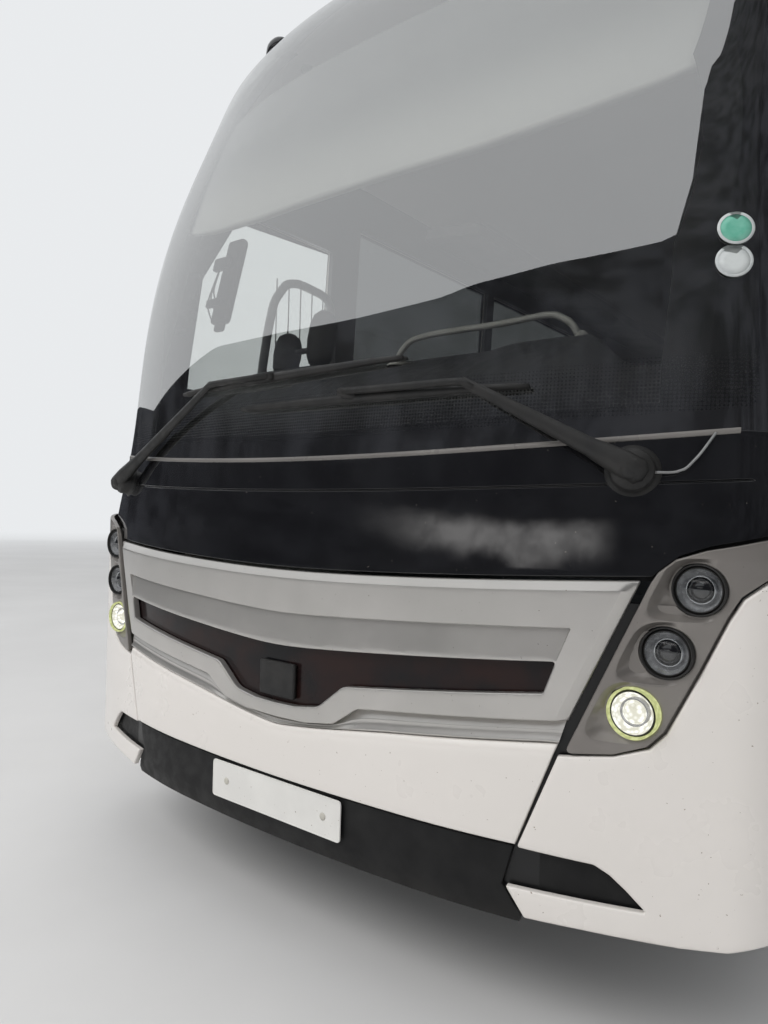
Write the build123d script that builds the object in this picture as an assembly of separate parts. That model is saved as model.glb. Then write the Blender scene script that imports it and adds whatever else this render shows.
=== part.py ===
from build123d import *
from math import asin, copysign, cos, degrees, radians, sin, sqrt
import os

# A touring coach in millimetres: X to the vehicle's left, Y to the rear, Z up.
# The origin is on the ground below the middle of the body. Distances called "back" are
# measured rearwards from the foremost point of the bumper.

# Driving dimensions
LENGTH = 12300
WIDTH = 2550
HEIGHT = 3600
WHEELBASE = 6100
FRONT_OVERHANG = 2750
SKIRT_Z = 330
BELT_Z = 1180
CANT_Z = 3050
DECK_Z = 1300
CAB_Z = 900
STEP_Z = 370
GAP = 6
SEAM = 3
BOND = 0.3
WALL = 45
DOOR_WALL = 40
SKIN = 24
GLASS = 8
TILT = 0.043
HALF = WIDTH / 2
NOSE = -LENGTH / 2


def back(distance):
    return NOSE + distance


def arc_run(start, radius, turn_from, turn_to):
    """Middle and end of an arc whose heading swings from +u towards +v, in degrees."""
    ends = []
    for turn in ((turn_from + turn_to) / 2, turn_to):
        u = start[0] + radius * (sin(radians(turn)) - sin(radians(turn_from)))
        v = start[1] + radius * (cos(radians(turn_from)) - cos(radians(turn)))
        ends.append((u, v))
    return ends


def chain(start, radii, turns):
    """Points of tangent arcs in a row: start, then each arc's middle and end."""
    points = [start]
    for radius, turn_from, turn_to in zip(radii, turns, turns[1:]):
        points += arc_run(points[-1], radius, turn_from, turn_to)
    return points


# Body envelope: plan outlines of tangent arcs, stacked with the nose's lean

FRONT_RADIUS = 6000
FRONT_HALF = 450
SHOULDER_RADIUS = 2200
CORNER_RADIUS = 180
CORNER_GROWTH = 0.057
TAIL_CORNER = 260
UPPER_Z = 1040
WINDSCREEN_Z = 1430
TAIL_LEAN_Z = 1900
TAIL_LEAN = 0.06
# height, how far the nose's centre has leaned back there
NOSE_LEAN = (
    (UPPER_Z, 8),
    (1250, 40),
    (WINDSCREEN_Z, 75),
    (1900, 125),
    (2400, 235),
    (2900, 435),
    (3300, 680),
    (3640, 1150),
)
CROWN_RADIUS = 6480
CROWN_HALF = 880
CANT_RADIUS = 374
CANT_TURN = 78


def plan(z, lean, inset, half, corner, tail_lean=0):
    """Plan outline at a height, offset inwards by inset."""
    centre_turn = degrees(asin(FRONT_HALF / FRONT_RADIUS))
    reach = half - corner - FRONT_HALF * (1 - SHOULDER_RADIUS / FRONT_RADIUS)
    shoulder_turn = degrees(asin(reach / (SHOULDER_RADIUS - corner)))
    radii = (FRONT_RADIUS - inset, SHOULDER_RADIUS - inset, corner - inset)
    nose = chain((0, lean + inset), radii, (0, centre_turn, shoulder_turn, 90))
    side = half - inset
    tail = LENGTH - tail_lean - inset
    bend = TAIL_CORNER - inset
    tail_arc = [
        (side, tail - bend),
        (side - bend * (1 - cos(radians(45))), tail - bend * (1 - sin(radians(45)))),
        (side - bend, tail),
    ]

    def at(point, hand=1):
        return (hand * point[0], back(point[1]), z)

    edges = [ThreePointArc(at(nose[2], -1), at(nose[0]), at(nose[2]))]
    edges += [ThreePointArc(*(at(p) for p in nose[2:5])), ThreePointArc(*(at(p) for p in nose[4:7]))]
    edges += [Line(at(nose[6]), at(tail_arc[0])), ThreePointArc(*(at(p) for p in tail_arc))]
    edges += [Line(at(tail_arc[2]), at(tail_arc[2], -1))]
    edges += [ThreePointArc(*(at(p, -1) for p in reversed(tail_arc)))]
    edges += [Line(at(tail_arc[0], -1), at(nose[6], -1))]
    edges += [ThreePointArc(*(at(p, -1) for p in reversed(nose[4:7])))]
    edges += [ThreePointArc(*(at(p, -1) for p in reversed(nose[2:5])))]
    return make_face(edges)


def crown(inset):
    """The roof's cross-section, run from end to end, with the space under it."""
    turn = degrees(asin(CROWN_HALF / CROWN_RADIUS))
    radii = (CROWN_RADIUS - inset, CANT_RADIUS - inset)
    arcs = chain((0, HEIGHT - inset), radii, (0, turn, CANT_TURN))
    # the chain falls from the crown, so v is turned into a height
    arcs = [(u, 2 * (HEIGHT - inset) - v) for u, v in arcs]
    foot_z = UPPER_Z - 100
    end = arcs[-1]
    wide = end[0] + (end[1] - foot_z) / 2

    def at(point, hand=1):
        return (hand * point[0], back(-200), point[1])

    edges = [ThreePointArc(at(arcs[2], -1), at(arcs[0]), at(arcs[2]))]
    edges += [ThreePointArc(*(at(p) for p in arcs[2:5])), Line(at(end), at((wide, foot_z)))]
    edges += [Line(at((wide, foot_z)), at((wide, foot_z), -1)), Line(at((wide, foot_z), -1), at(end, -1))]
    edges += [ThreePointArc(*(at(p, -1) for p in reversed(arcs[2:5])))]
    return extrude(make_face(edges), amount=LENGTH + 400, dir=(0, 1, 0))


def side_half(z):
    """Half width of the upper body, whose sides lean inwards."""
    return HALF - TILT * (z - UPPER_Z)


def upper_body(inset):
    """The upper body as one solid, from the top of the skirts to the roof."""
    faces = []
    for z, lean in NOSE_LEAN:
        corner = CORNER_RADIUS + CORNER_GROWTH * max(z - WINDSCREEN_Z, 0)
        tail_lean = TAIL_LEAN * max(z - TAIL_LEAN_Z, 0)
        faces.append(plan(z, lean, inset, side_half(z), corner, tail_lean))
    return loft(faces) & crown(inset)


def lower_body(inset, z0, z1):
    """The upright lower body as one solid between two heights."""
    return extrude(plan(z0, 0, inset, HALF, CORNER_RADIUS), amount=z1 - z0, dir=(0, 0, 1))


UPPER_INSETS = (-BOND, 0, GLASS, GLASS + BOND, SKIN, SKIN + BOND, WALL)
UPPER = {inset: upper_body(inset) for inset in UPPER_INSETS}


GLASS_SHELL = UPPER[0] - UPPER[GLASS]
REBATE_SHELL = UPPER[0] - UPPER[GLASS + BOND]
PANEL_SHELL = UPPER[0] - UPPER[SKIN]
WALL_SHELL = UPPER[0] - UPPER[WALL]
FRAME_SHELL = UPPER[GLASS + BOND] - UPPER[WALL]


def lower_shell(outer, inner, z0=SKIRT_Z, z1=BELT_Z - GAP):
    return lower_body(outer, z0, z1) - lower_body(inner, z0 - 1, z1 + 1)


def box(x0, x1, y0, y1, z0, z1):
    centre = Location(((x0 + x1) / 2, (y0 + y1) / 2, (z0 + z1) / 2))
    return centre * Box(x1 - x0, y1 - y0, z1 - z0)


def front_prism(outline, depth_from=-300, depth_to=900):
    """A prism along Y from a closed outline of edges drawn in x and z."""
    return extrude(make_face(outline), amount=depth_to - depth_from, dir=(0, 1, 0))


def front_points(points, depth_from=-300, depth_to=900):
    y = back(depth_from)
    line = Polyline(*[(x, y, z) for x, z in points], close=True)
    return extrude(make_face(line), amount=depth_to - depth_from, dir=(0, 1, 0))


def side_points(points, x0, x1):
    """A prism along X from a closed outline of distance back and height."""
    line = Polyline(*[(x0, back(d), z) for d, z in points], close=True)
    return extrude(make_face(line), amount=x1 - x0, dir=(1, 0, 0))


def both(solid):
    return solid + mirror(solid, Plane.YZ)


def rod(start, end, radius):
    """A round bar between two points."""
    axis = Vector(*end) - Vector(*start)
    return extrude(Plane(origin=start, z_dir=axis) * Circle(radius), amount=axis.length)


PARTS = {}


def keep(name, shape):
    PARTS[name] = shape


# Seams of the front, as half-width and height

SILVER_TOP = (995, 1112)
SILVER_TOP_MID = 1076
LIP_CORNER = (853, 788)
BUMPER_TOP = (832, 733)
BUMPER_FOOT = (743, 490)
VALANCE_FOOT = (721, 302)
SCREEN_BASE_MID = 1400
SCREEN_BASE_SIDE = 1443
SCREEN_BASE_HALF = 1070
SCREEN_TOP_Z = 3430
POST_BACK = 250
BACKING_FOOT = 1110
DOOR_FRONT = 620
DOOR_WIDE = 866
DOOR_FOOT = 340
DOOR_TOP = 2480


def post_line(shift):
    """Side view of the windscreen's rear edge, as points up the lean of the nose."""
    return [(lean + POST_BACK + shift, z) for z, lean in NOSE_LEAN[2:-1]]


def ahead_of_post(shift):
    """Everything in front of the windscreen's rear edge, moved back by shift."""
    line = post_line(shift)
    points = [(-300, UPPER_Z - 50), (line[0][0] - 10, UPPER_Z - 50)] + line
    points += [(line[-1][0] + 140, 3500), (line[-1][0] + 140, 3800), (-300, 3800)]
    return side_points(points, -HALF - 50, HALF + 50)


def above_arc(mid_z, side_x, side_z, top=3900):
    """Everything above a shallow arc across the nose in front view."""
    y = back(-300)
    slope = (side_z - mid_z) / side_x**2
    wide = HALF + 100
    wide_z = mid_z + slope * wide**2
    arc = ThreePointArc((-wide, y, wide_z), (0, y, mid_z), (wide, y, wide_z))
    line = Polyline((wide, y, wide_z), (wide, y, top), (-wide, y, top), (-wide, y, wide_z))
    return front_prism([arc, line], depth_to=LENGTH + 300)


def above_screen_base(up=0, top=3900):
    """Everything above the windscreen's lower edge, moved up by a distance."""
    return above_arc(SCREEN_BASE_MID + up, SCREEN_BASE_HALF, SCREEN_BASE_SIDE + up, top)


def windscreen_and_frame():
    screen_zone = ahead_of_post(0) & above_screen_base(0, SCREEN_TOP_Z)
    keep("windscreen", GLASS_SHELL & screen_zone)
    margin = 75
    frame_zone = ahead_of_post(GAP - BOND) & above_screen_base(0, SCREEN_TOP_Z + GAP - BOND)
    frame = FRAME_SHELL & frame_zone
    # below the glass the frame backs the scuttle panel, clear of the top lamps
    backing = (UPPER[SKIN + BOND] - UPPER[WALL]) & ahead_of_post(GAP - BOND)
    backing = backing & box(-HALF, HALF, back(-50), back(900), BACKING_FOOT, SCREEN_BASE_MID + 20)
    x, z, distance = LAMPS[0]
    clear = Location((x, back(distance), z), (90, 0, 0)) * Cylinder(LAMP_RADIUS + 2, 400)
    frame = frame + (backing - both(clear))
    hole = ahead_of_post(-margin) & above_screen_base(margin, SCREEN_TOP_Z - margin)
    keep("nose_frame", frame - hole)


def grille_outline(shrink=0):
    """The silver panel's front outline, half on each side, drawn in x and z."""
    y = back(-300)
    top = (SILVER_TOP[0] - shrink, SILVER_TOP[1])
    lip = [(LIP_CORNER[0] - shrink, LIP_CORNER[1]), (300, 731), (222, 672)]
    run = [top] + lip
    right = Polyline(*[(x, y, z) for x, z in run])
    foot = Line((222, y, 672), (-222, y, 672))
    left = Polyline(*[(-x, y, z) for x, z in reversed(run)])
    crest = ThreePointArc((-top[0], y, top[1]), (0, y, SILVER_TOP_MID), (top[0], y, top[1]))
    return [right, foot, left, crest]


SLOT = (
    # half width, height: from the top outer corner round to the dip
    (823, 919),
    (797, 845),
    (252, 781),
    (165, 708),
)
RADAR_HALF = 70


CHANNEL_FACE = 16


def slot_prism(grow=0):
    y = back(-300)
    (x1, z1), (x2, z2), (x3, z3), (x4, z4) = SLOT
    run = [(x1 + grow, z1 + grow), (x2 + grow, z2 - grow)]
    run += [(x3 + grow / 2, z3 - grow), (x4 + grow / 2, z4 - grow)]
    right = Polyline(*[(x, y, z) for x, z in run])
    foot = Line((run[-1][0], y, run[-1][1]), (-run[-1][0], y, run[-1][1]))
    left = Polyline(*[(-x, y, z) for x, z in reversed(run)])
    top_mid = 868 + grow
    crest = ThreePointArc((-run[0][0], y, run[0][1]), (0, y, top_mid), (run[0][0], y, run[0][1]))
    return front_prism([right, foot, left, crest])


def grow_up(outline, by):
    """The bumper's outline with its upper edge moved up and out, to cut the seam above it."""
    return [(x + copysign(by, x), z + by) if z > BUMPER_FOOT[1] + 50 else (x, z) for x, z in outline]


def grille_and_bumper():
    face = lower_shell(0, SKIN, 600, BELT_Z) & front_prism(grille_outline())
    channel_line = [(846, 800), (824, 733), (820, 700), (300, 650)]
    channel_line += [(-x, z) for x, z in reversed(channel_line)]
    channel_zone = front_points(channel_line)
    channel = lower_shell(CHANNEL_FACE, SKIN, 600, 850) & channel_zone
    panel = face + channel - slot_prism()
    insert = lower_shell(SKIN + BOND, SKIN + 30, 640, 960) & slot_prism(12)
    radar = box(-RADAR_HALF, RADAR_HALF, back(8), back(SKIN + 20), 712, 812)
    keep("grille_insert", insert + radar)
    bumper_line = [BUMPER_TOP, (300, 679), (200, 640)]
    outline = bumper_line + [(-x, z) for x, z in reversed(bumper_line)]
    outline += [(-BUMPER_FOOT[0], BUMPER_FOOT[1]), BUMPER_FOOT]
    keep("grille_panel", panel - front_points(grow_up(outline, SEAM)))
    keep("front_bumper", lower_shell(0, SKIN, 480, 760) & front_points(outline))
    foot = [(BUMPER_FOOT[0] - 2, BUMPER_FOOT[1] - 5), VALANCE_FOOT]
    outline = foot + [(-x, z) for x, z in reversed(foot)]
    keep("valance", lower_shell(0, SKIN, 300, 486) & front_points(outline))


LAMP_PANEL = (
    # half width, height: up the inner seam, round the top and down the outer edge
    (1012, 1108),
    (1027, 1132),
    (1060, 1160),
    (1118, 1178),
    (1219, 1178),
    (1262, 1178),
    (1262, 1145),
    (1222, 1123),
    (1181, 1088),
    (1156, 1042),
    (1108, 928),
    (1045, 790),
    (1013, 754),
    (948, 729),
    (843, 714),
)
LAMPS = (
    # half width, height, distance back of the lens
    (1100, 1098, 178),
    (1043, 959, 152),
    (983, 824, 122),
)
LAMP_RADIUS = 57
LENS_RADIUS = 45
CORNER_BACK = DOOR_FRONT - GAP
CARRIER_DEEP = 30
CARRIER_TOP = 1060
CARRIER_BACK = 600


def carrier():
    """The moulded carrier behind the front panels, with horns to the frame's first beam."""
    shell = lower_shell(SKIN + BOND, SKIN + CARRIER_DEEP, 345, CARRIER_TOP)
    shell = shell & box(-HALF, HALF, back(-50), back(CARRIER_BACK), 340, CARRIER_TOP)
    shell = shell - slot_prism(12 + BOND)
    for x, z, distance in LAMPS:
        hole = Location((x, back(distance + 60), z), (90, 0, 0)) * Cylinder(LAMP_RADIUS + 2, 400)
        shell = shell - both(hole)
    recess = front_points([(790, 478), (905, 474), (940, 460), (972, 434), (1000, 402), (790, 394)])
    shell = shell - both(recess)
    d, foot, top, _ = CROSS_BEAMS[0]
    horn = box(RAIL_X - 40, RAIL_X + 40, back(-10), back(d), foot + 20, foot + 60)
    horn = horn & lower_body(SKIN + CARRIER_DEEP - 2, foot, top)
    keep("front_carrier", shell + both(horn))


def corner_and_lamps():
    zone = box(700, HALF + 10, back(-50), back(CORNER_BACK), 320, BELT_Z)
    skin = lower_shell(0, SKIN, 326, BELT_Z - GAP) & zone
    seam = [(1015 + SEAM, 1300), (SILVER_TOP[0] + SEAM, SILVER_TOP[1])]
    seam += [(LIP_CORNER[0] + SEAM, LIP_CORNER[1])]
    seam += [(BUMPER_TOP[0] + SEAM, BUMPER_TOP[1]), (BUMPER_FOOT[0] + SEAM, BUMPER_FOOT[1])]
    seam += [(VALANCE_FOOT[0] + SEAM, 300), (1400, 300), (1400, 1300)]
    skin = skin & front_points(seam)
    lamp_zone = front_points(LAMP_PANEL, depth_to=470)
    grown = [(x + (6 if x > 1010 else 0), z - 5) for x, z in LAMP_PANEL[6:]]
    above = [(990, 1100), (990, 1300), (1268, 1300), (1268, 1140)]
    lamp_gap = front_points(above + grown[1:] + [(834, 709)], depth_to=474)
    recess = front_points([(700, 484), (914, 480), (946, 464), (980, 436), (1021, 396), (700, 388)])
    corner = skin - lamp_gap - recess
    keep("front_corners", both(corner))
    lamp_panel = skin & lamp_zone
    lamps = None
    for x, z, distance in LAMPS:
        place = Location((x, back(distance + 60), z), (90, 0, 0))
        lamp_panel = lamp_panel - place * Cylinder(LAMP_RADIUS + BOND, 300)
        cup = Location((x, back(distance + 40), z), (90, 0, 0)) * Cylinder(LAMP_RADIUS, 80)
        cup = cup - Location((x, back(distance), z), (90, 0, 0)) * Cylinder(LENS_RADIUS, 40)
        lens_place = Location((x, back(distance + 12), z), (90, 0, 0))
        cup = cup + lens_place * Cylinder(LENS_RADIUS, 30)
        lamps = cup if lamps is None else lamps + cup
    keep("lamp_panels", both(lamp_panel))
    keep("headlamps", both(lamps))


def scuttle():
    zone = ahead_of_post(-SEAM) - above_screen_base(-SEAM)
    zone = zone & above_arc(SILVER_TOP_MID + 8, SILVER_TOP[0], SILVER_TOP[1] + 8)
    panel = PANEL_SHELL & zone
    lamp_cut = [(x, z + 6) for x, z in LAMP_PANEL[:3]]
    lamp_cut += [(1118, 1184), (1400, 1184), (1400, 1000), (1012, 1000)]
    panel = panel - both(front_points(lamp_cut, depth_to=1200))
    groove = above_arc(1303, 868, 1322) - above_arc(1307, 868, 1326)
    groove = groove & GLASS_SHELL
    keep("scuttle_panel", panel - groove)


# Side walls and their glass

PANE_TOP = 2870
PANE_FOOT = 1720
PANE_GAP = 12
PILLAR = 90
# distance back of the pane seams along the saloon
PANE_SEAMS = (1640, 3140, 4660, 6180, 7700, 9220, 10640, 11880)
DRIVER_PANE = (
    # distance back, height: along the foot, up the rear edge and down the lean of the post
    (375, 1500),
    (1515, 1500),
    (1515, 2685),
    (640, 2685),
    (520, 2400),
    (400, 1790),
)
REAR_WALL_BACK = LENGTH - TAIL_CORNER - 10


def grow(points, by):
    """Each corner of a convex outline moved away from its middle by about by."""
    mid = [sum(p[i] for p in points) / len(points) for i in (0, 1)]
    grown = []
    for p in points:
        u, v = p[0] - mid[0], p[1] - mid[1]
        grown.append((p[0] + by * (1 if u > 0 else -1), p[1] + by * (1 if v > 0 else -1)))
    return grown


def rectangle(d0, d1, z0, z1):
    return [(d0, z0), (d1, z0), (d1, z1), (d0, z1)]


def side_wall(hand):
    """One upper side wall, rebated and pierced for its panes, and the panes."""
    x0, x1 = (900, HALF + 40) if hand > 0 else (-HALF - 40, -900)
    zone = box(x0, x1, back(0), back(REAR_WALL_BACK), BELT_Z, CANT_Z - BOND)
    wall = (WALL_SHELL & zone) - ahead_of_post(GAP)
    row = rectangle(PANE_SEAMS[0], PANE_SEAMS[-1], PANE_FOOT, PANE_TOP)
    band, pocket = side_points(row, x0, x1), side_points(grow(row, SEAM), x0, x1)
    half = PANE_GAP / 2
    strips = [rectangle(seam - half, seam + half, PANE_FOOT - 1, PANE_TOP + 1) for seam in PANE_SEAMS]
    seams = [side_points(strip, x0, x1) for strip in strips]
    holes = [
        side_points(grow(rectangle(a, b, PANE_FOOT, PANE_TOP), -PILLAR / 2), x0, x1)
        for a, b in zip(PANE_SEAMS, PANE_SEAMS[1:])
    ]
    if hand < 0:
        band = band + side_points(DRIVER_PANE, x0, x1)
        pocket = pocket + side_points(grow(DRIVER_PANE, SEAM), x0, x1)
        holes.append(side_points(grow(DRIVER_PANE, -PILLAR / 2), x0, x1))
    else:
        door = rectangle(DOOR_FRONT - GAP, DOOR_FRONT + DOOR_WIDE + GAP, BELT_Z - 50, DOOR_TOP + GAP)
        holes.append(side_points(door, x0, x1))
    panes = (GLASS_SHELL & zone & band) - seams
    wall = wall - (REBATE_SHELL & zone & pocket)
    return wall - holes, panes


LOCKERS_FROM = 3440
LOCKERS_TO = 8160
ARCH_RADIUS = 600
WHEEL_Z = 522
FRONT_AXLE = back(FRONT_OVERHANG)
REAR_AXLE = back(FRONT_OVERHANG + WHEELBASE)
TAIL_BACK = LENGTH - 420


def arch(axle_y):
    place = Location((0, axle_y, WHEEL_Z), (0, 90, 0))
    return place * Cylinder(ARCH_RADIUS, WIDTH + 100)


def skirts():
    shell = lower_shell(0, DOOR_WALL, SKIRT_Z, BELT_Z - BOND)
    left = box(900, HALF + 10, back(DOOR_FRONT + DOOR_WIDE + GAP), back(LOCKERS_FROM - GAP), 0, BELT_Z)
    right = box(-HALF - 10, -900, back(CORNER_BACK + GAP), back(LOCKERS_FROM - GAP), 0, BELT_Z)
    tail = box(900, HALF + 10, back(LOCKERS_TO + GAP), back(TAIL_BACK), 0, BELT_Z)
    panels = (shell & left) + (shell & right) + (shell & both(tail))
    keep("skirts", panels - arch(FRONT_AXLE) - arch(REAR_AXLE))


HINGE_RADIUS = 10
PIN_RADIUS = 5
PIN_PLAY = 0.08
KNUCKLE_WIDE = 18
KNUCKLE_NOTCH = 24
HINGE_Z = BELT_Z - GAP - HINGE_RADIUS
HINGE_X = HALF - HINGE_RADIUS


def lockers(walls):
    """Top-hinged luggage doors; each hangs on pins in knuckles under the side wall."""
    count = 3
    width = (LOCKERS_TO - LOCKERS_FROM - (count - 1) * GAP) / count
    for hand, side in ((1, "left"), (-1, "right")):
        for index in range(count):
            d0 = LOCKERS_FROM + index * (width + GAP)
            x0, x1 = HALF - DOOR_WALL, HALF
            leaf = box(x0, x1, back(d0), back(d0 + width), SKIRT_Z, HINGE_Z + HINGE_RADIUS)
            corner = box(HINGE_X, x1 + 1, back(d0 - 1), back(d0 + width + 1), HINGE_Z, HINGE_Z + 20)
            barrel = rod((HINGE_X, back(d0), HINGE_Z), (HINGE_X, back(d0 + width), HINGE_Z), HINGE_RADIUS)
            leaf = (leaf - corner) + barrel
            knuckles = None
            for share in (0.12, 0.5, 0.88):
                y = back(d0 + share * width)
                near = HINGE_X - HINGE_RADIUS - GAP
                low = HINGE_Z - HINGE_RADIUS - GAP
                notch = box(near, x1 + 1, y - KNUCKLE_NOTCH / 2, y + KNUCKLE_NOTCH / 2, low, BELT_Z)
                pin_ends = [(HINGE_X, y + s * (KNUCKLE_NOTCH / 2 + 1), HINGE_Z) for s in (-1, 1)]
                leaf = (leaf - notch) + rod(pin_ends[0], pin_ends[1], PIN_RADIUS)
                ends = [(HINGE_X, y + s * KNUCKLE_WIDE / 2, HINGE_Z) for s in (-1, 1)]
                eye = rod(ends[0], ends[1], HINGE_RADIUS - 0.5)
                arm = box(HINGE_X - 9, HINGE_X + 3, ends[0][1], ends[1][1], HINGE_Z, BELT_Z + 8)
                eye = eye + arm - rod(ends[0], ends[1], PIN_RADIUS + PIN_PLAY)
                knuckles = eye if knuckles is None else knuckles + eye
            if hand < 0:
                leaf = mirror(leaf, Plane.YZ)
                knuckles = mirror(knuckles, Plane.YZ)
            keep(f"locker_{side}_{index + 1}", leaf)
            walls[side] = walls[side] + knuckles


# Tail

ENGINE_DOOR_HALF = 960
ENGINE_DOOR_FOOT = 560
ENGINE_DOOR_TOP = 1700
TAIL_GLASS = (950, 1980, 2760)
LAMP_COLUMN = (1010, 1130, 700, 1120)


def tail(walls):
    rear = box(-HALF - 10, HALF + 10, back(REAR_WALL_BACK + BOND), back(LENGTH + 10), BELT_Z, CANT_Z - BOND)
    panel = WALL_SHELL & rear
    hole_half, hole_foot, hole_top = ENGINE_DOOR_HALF + GAP, ENGINE_DOOR_FOOT - GAP, ENGINE_DOOR_TOP + GAP
    opening = box(-hole_half, hole_half, back(LENGTH - 400), back(LENGTH + 10), hole_foot, hole_top)
    panel = panel - opening
    half, z0, z1 = TAIL_GLASS
    band = box(-half, half, back(LENGTH - 500), back(LENGTH + 10), z0, z1)
    glass = GLASS_SHELL & band
    slot = box(-half - 4, half + 4, back(LENGTH - 500), back(LENGTH + 10), z0 - 4, z1 + 4)
    panel = panel - (slot & REBATE_SHELL)
    inner_half = half - PILLAR
    hole = box(-inner_half, inner_half, back(LENGTH - 500), back(LENGTH + 10), z0 + PILLAR, z1 - PILLAR)
    panel = panel - hole
    lower = box(-HALF - 10, HALF + 10, back(TAIL_BACK + SEAM), back(LENGTH + 10), 0, BELT_Z)
    surround = (lower_shell(0, DOOR_WALL, SKIRT_Z, BELT_Z - BOND) & lower) - opening
    x0, x1, lamp_z0, lamp_z1 = LAMP_COLUMN
    column = box(x0, x1, back(LENGTH - 300), back(LENGTH + 10), lamp_z0, lamp_z1)
    wide = box(x0 - SEAM, x1 + SEAM, back(LENGTH - 300), back(LENGTH + 10), lamp_z0 - SEAM, lamp_z1 + SEAM)
    pocket = lower_body(0, SKIRT_Z, BELT_Z) - lower_body(SKIN, SKIRT_Z - 1, BELT_Z + 1)
    surround = surround - both(wide & pocket)
    lens = lower_body(0, SKIRT_Z, BELT_Z) - lower_body(SKIN - BOND, 300, BELT_Z + 1)
    keep("tail_lamps", both(column & lens))
    keep("rear_bumper", surround)

    # engine door: a flat leaf hinged along its top edge
    y1 = back(LENGTH)
    y0 = y1 - DOOR_WALL
    hinge_z = ENGINE_DOOR_TOP - HINGE_RADIUS
    hinge_y = y1 - HINGE_RADIUS
    leaf = box(-ENGINE_DOOR_HALF, ENGINE_DOOR_HALF, y0, y1, ENGINE_DOOR_FOOT, ENGINE_DOOR_TOP)
    leaf = leaf - box(-HALF, HALF, hinge_y, y1 + 1, hinge_z, ENGINE_DOOR_TOP + 1)
    barrel_ends = [(x, hinge_y, hinge_z) for x in (-ENGINE_DOOR_HALF, ENGINE_DOOR_HALF)]
    leaf = leaf + rod(barrel_ends[0], barrel_ends[1], HINGE_RADIUS)
    for row in range(7):
        z = 700 + row * 55
        for side in (-1, 1):
            leaf = leaf - box(side * 520 - 340, side * 520 + 340, y0 - 1, y1 + 1, z, z + 22)
    for x in (-720, 0, 720):
        near = hinge_y - HINGE_RADIUS - GAP
        low = hinge_z - HINGE_RADIUS - GAP
        notch = box(x - KNUCKLE_NOTCH / 2, x + KNUCKLE_NOTCH / 2, near, y1 + 1, low, ENGINE_DOOR_TOP + 1)
        pin = [(x + s * (KNUCKLE_NOTCH / 2 + 1), hinge_y, hinge_z) for s in (-1, 1)]
        leaf = (leaf - notch) + rod(pin[0], pin[1], PIN_RADIUS)
        ends = [(x + s * KNUCKLE_WIDE / 2, hinge_y, hinge_z) for s in (-1, 1)]
        eye = rod(ends[0], ends[1], HINGE_RADIUS - 0.5)
        arm = box(ends[0][0], ends[1][0], hinge_y - 9, hinge_y + 3, hinge_z, ENGINE_DOOR_TOP + GAP + 8)
        panel = panel + (eye + arm - rod(ends[0], ends[1], PIN_RADIUS + PIN_PLAY))
    keep("engine_door", leaf)
    keep("tail_panel", panel)
    return glass


ROOF_SEAM_X = CROWN_HALF


def roof():
    """The roof's middle and its two cant panels, with the air-conditioning unit on top."""
    zone = box(-HALF, HALF, back(-50), back(LENGTH + 10), CANT_Z, HEIGHT + 20)
    screen_zone = ahead_of_post(GAP) & above_screen_base(0, SCREEN_TOP_Z + GAP)
    shell = (WALL_SHELL & zone) - screen_zone
    seam = box(ROOF_SEAM_X, ROOF_SEAM_X + BOND, back(-50), back(LENGTH + 10), CANT_Z, HEIGHT + 20)
    keep("roof", shell - both(seam))
    unit = box(-760, 760, back(6000), back(8600), HEIGHT - 80, HEIGHT + 150)
    unit = fillet(unit.edges().filter_by(Axis.Z), 180)
    unit = chamfer(unit.faces().sort_by(Axis.Z)[-1].edges(), 60)
    keep("roof_unit", unit - crown(-BOND))


# Passenger door: an outward-swinging leaf carried on a turning post with curved arms

DOOR_POST = (1150, 720)
DOOR_POST_RADIUS = 22
ARM_LENGTH = 470
ARM_BOW = 140
ARM_RADIUS = 16
ARM_HEIGHTS = (620, 1120)


def door_leaf():
    d0, d1 = DOOR_FRONT, DOOR_FRONT + DOOR_WIDE
    lower = lower_shell(0, DOOR_WALL, DOOR_FOOT, BELT_Z)
    lower = lower & box(900, HALF + 10, back(d0), back(d1), 0, BELT_Z)
    upper = WALL_SHELL & box(900, HALF + 10, back(d0), back(d1), BELT_Z, DOOR_TOP)
    window = rectangle(d0 + 90, d1 - 90, 1260, DOOR_TOP - 90)
    leaf = (lower + upper) - side_points(window, 900, HALF + 10)
    rebate = side_points(grow(window, 30), 900, HALF + 10) & REBATE_SHELL
    leaf = leaf - rebate
    keep("door_glass", GLASS_SHELL & side_points(grow(window, 30 - SEAM), 900, HALF + 10))
    x, d = DOOR_POST[0], DOOR_POST[1] + ARM_LENGTH
    inner = HALF - DOOR_WALL
    for z in ARM_HEIGHTS:
        lugs = [box(x - 20, inner + 2, back(d) - 20, back(d) + 20, z + s - 6, z + s + 6) for s in (-28, 28)]
        pin = rod((x, back(d), z - 32), (x, back(d), z + 32), 8)
        leaf = leaf + lugs[0] + lugs[1] + pin
    keep("passenger_door", leaf)


def door_arm():
    x, d = DOOR_POST
    y = back(d)
    post = rod((x, y, STEP_Z + BOND), (x, y, DOOR_TOP - 100), DOOR_POST_RADIUS)
    for z in ARM_HEIGHTS:
        path = ThreePointArc((x, y, z), (x - ARM_BOW, y + ARM_LENGTH / 2, z), (x, y + ARM_LENGTH, z))
        bar = sweep(Plane(origin=path @ 0, z_dir=path % 0) * Circle(ARM_RADIUS), path=path)
        end = (x, y + ARM_LENGTH)
        boss = rod((end[0], end[1], z - 20), (end[0], end[1], z + 20), 18)
        bore = rod((end[0], end[1], z - 40), (end[0], end[1], z + 40), 8 + PIN_PLAY)
        post = post + bar + boss - bore
    keep("door_arm", post)


# Structure

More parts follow.
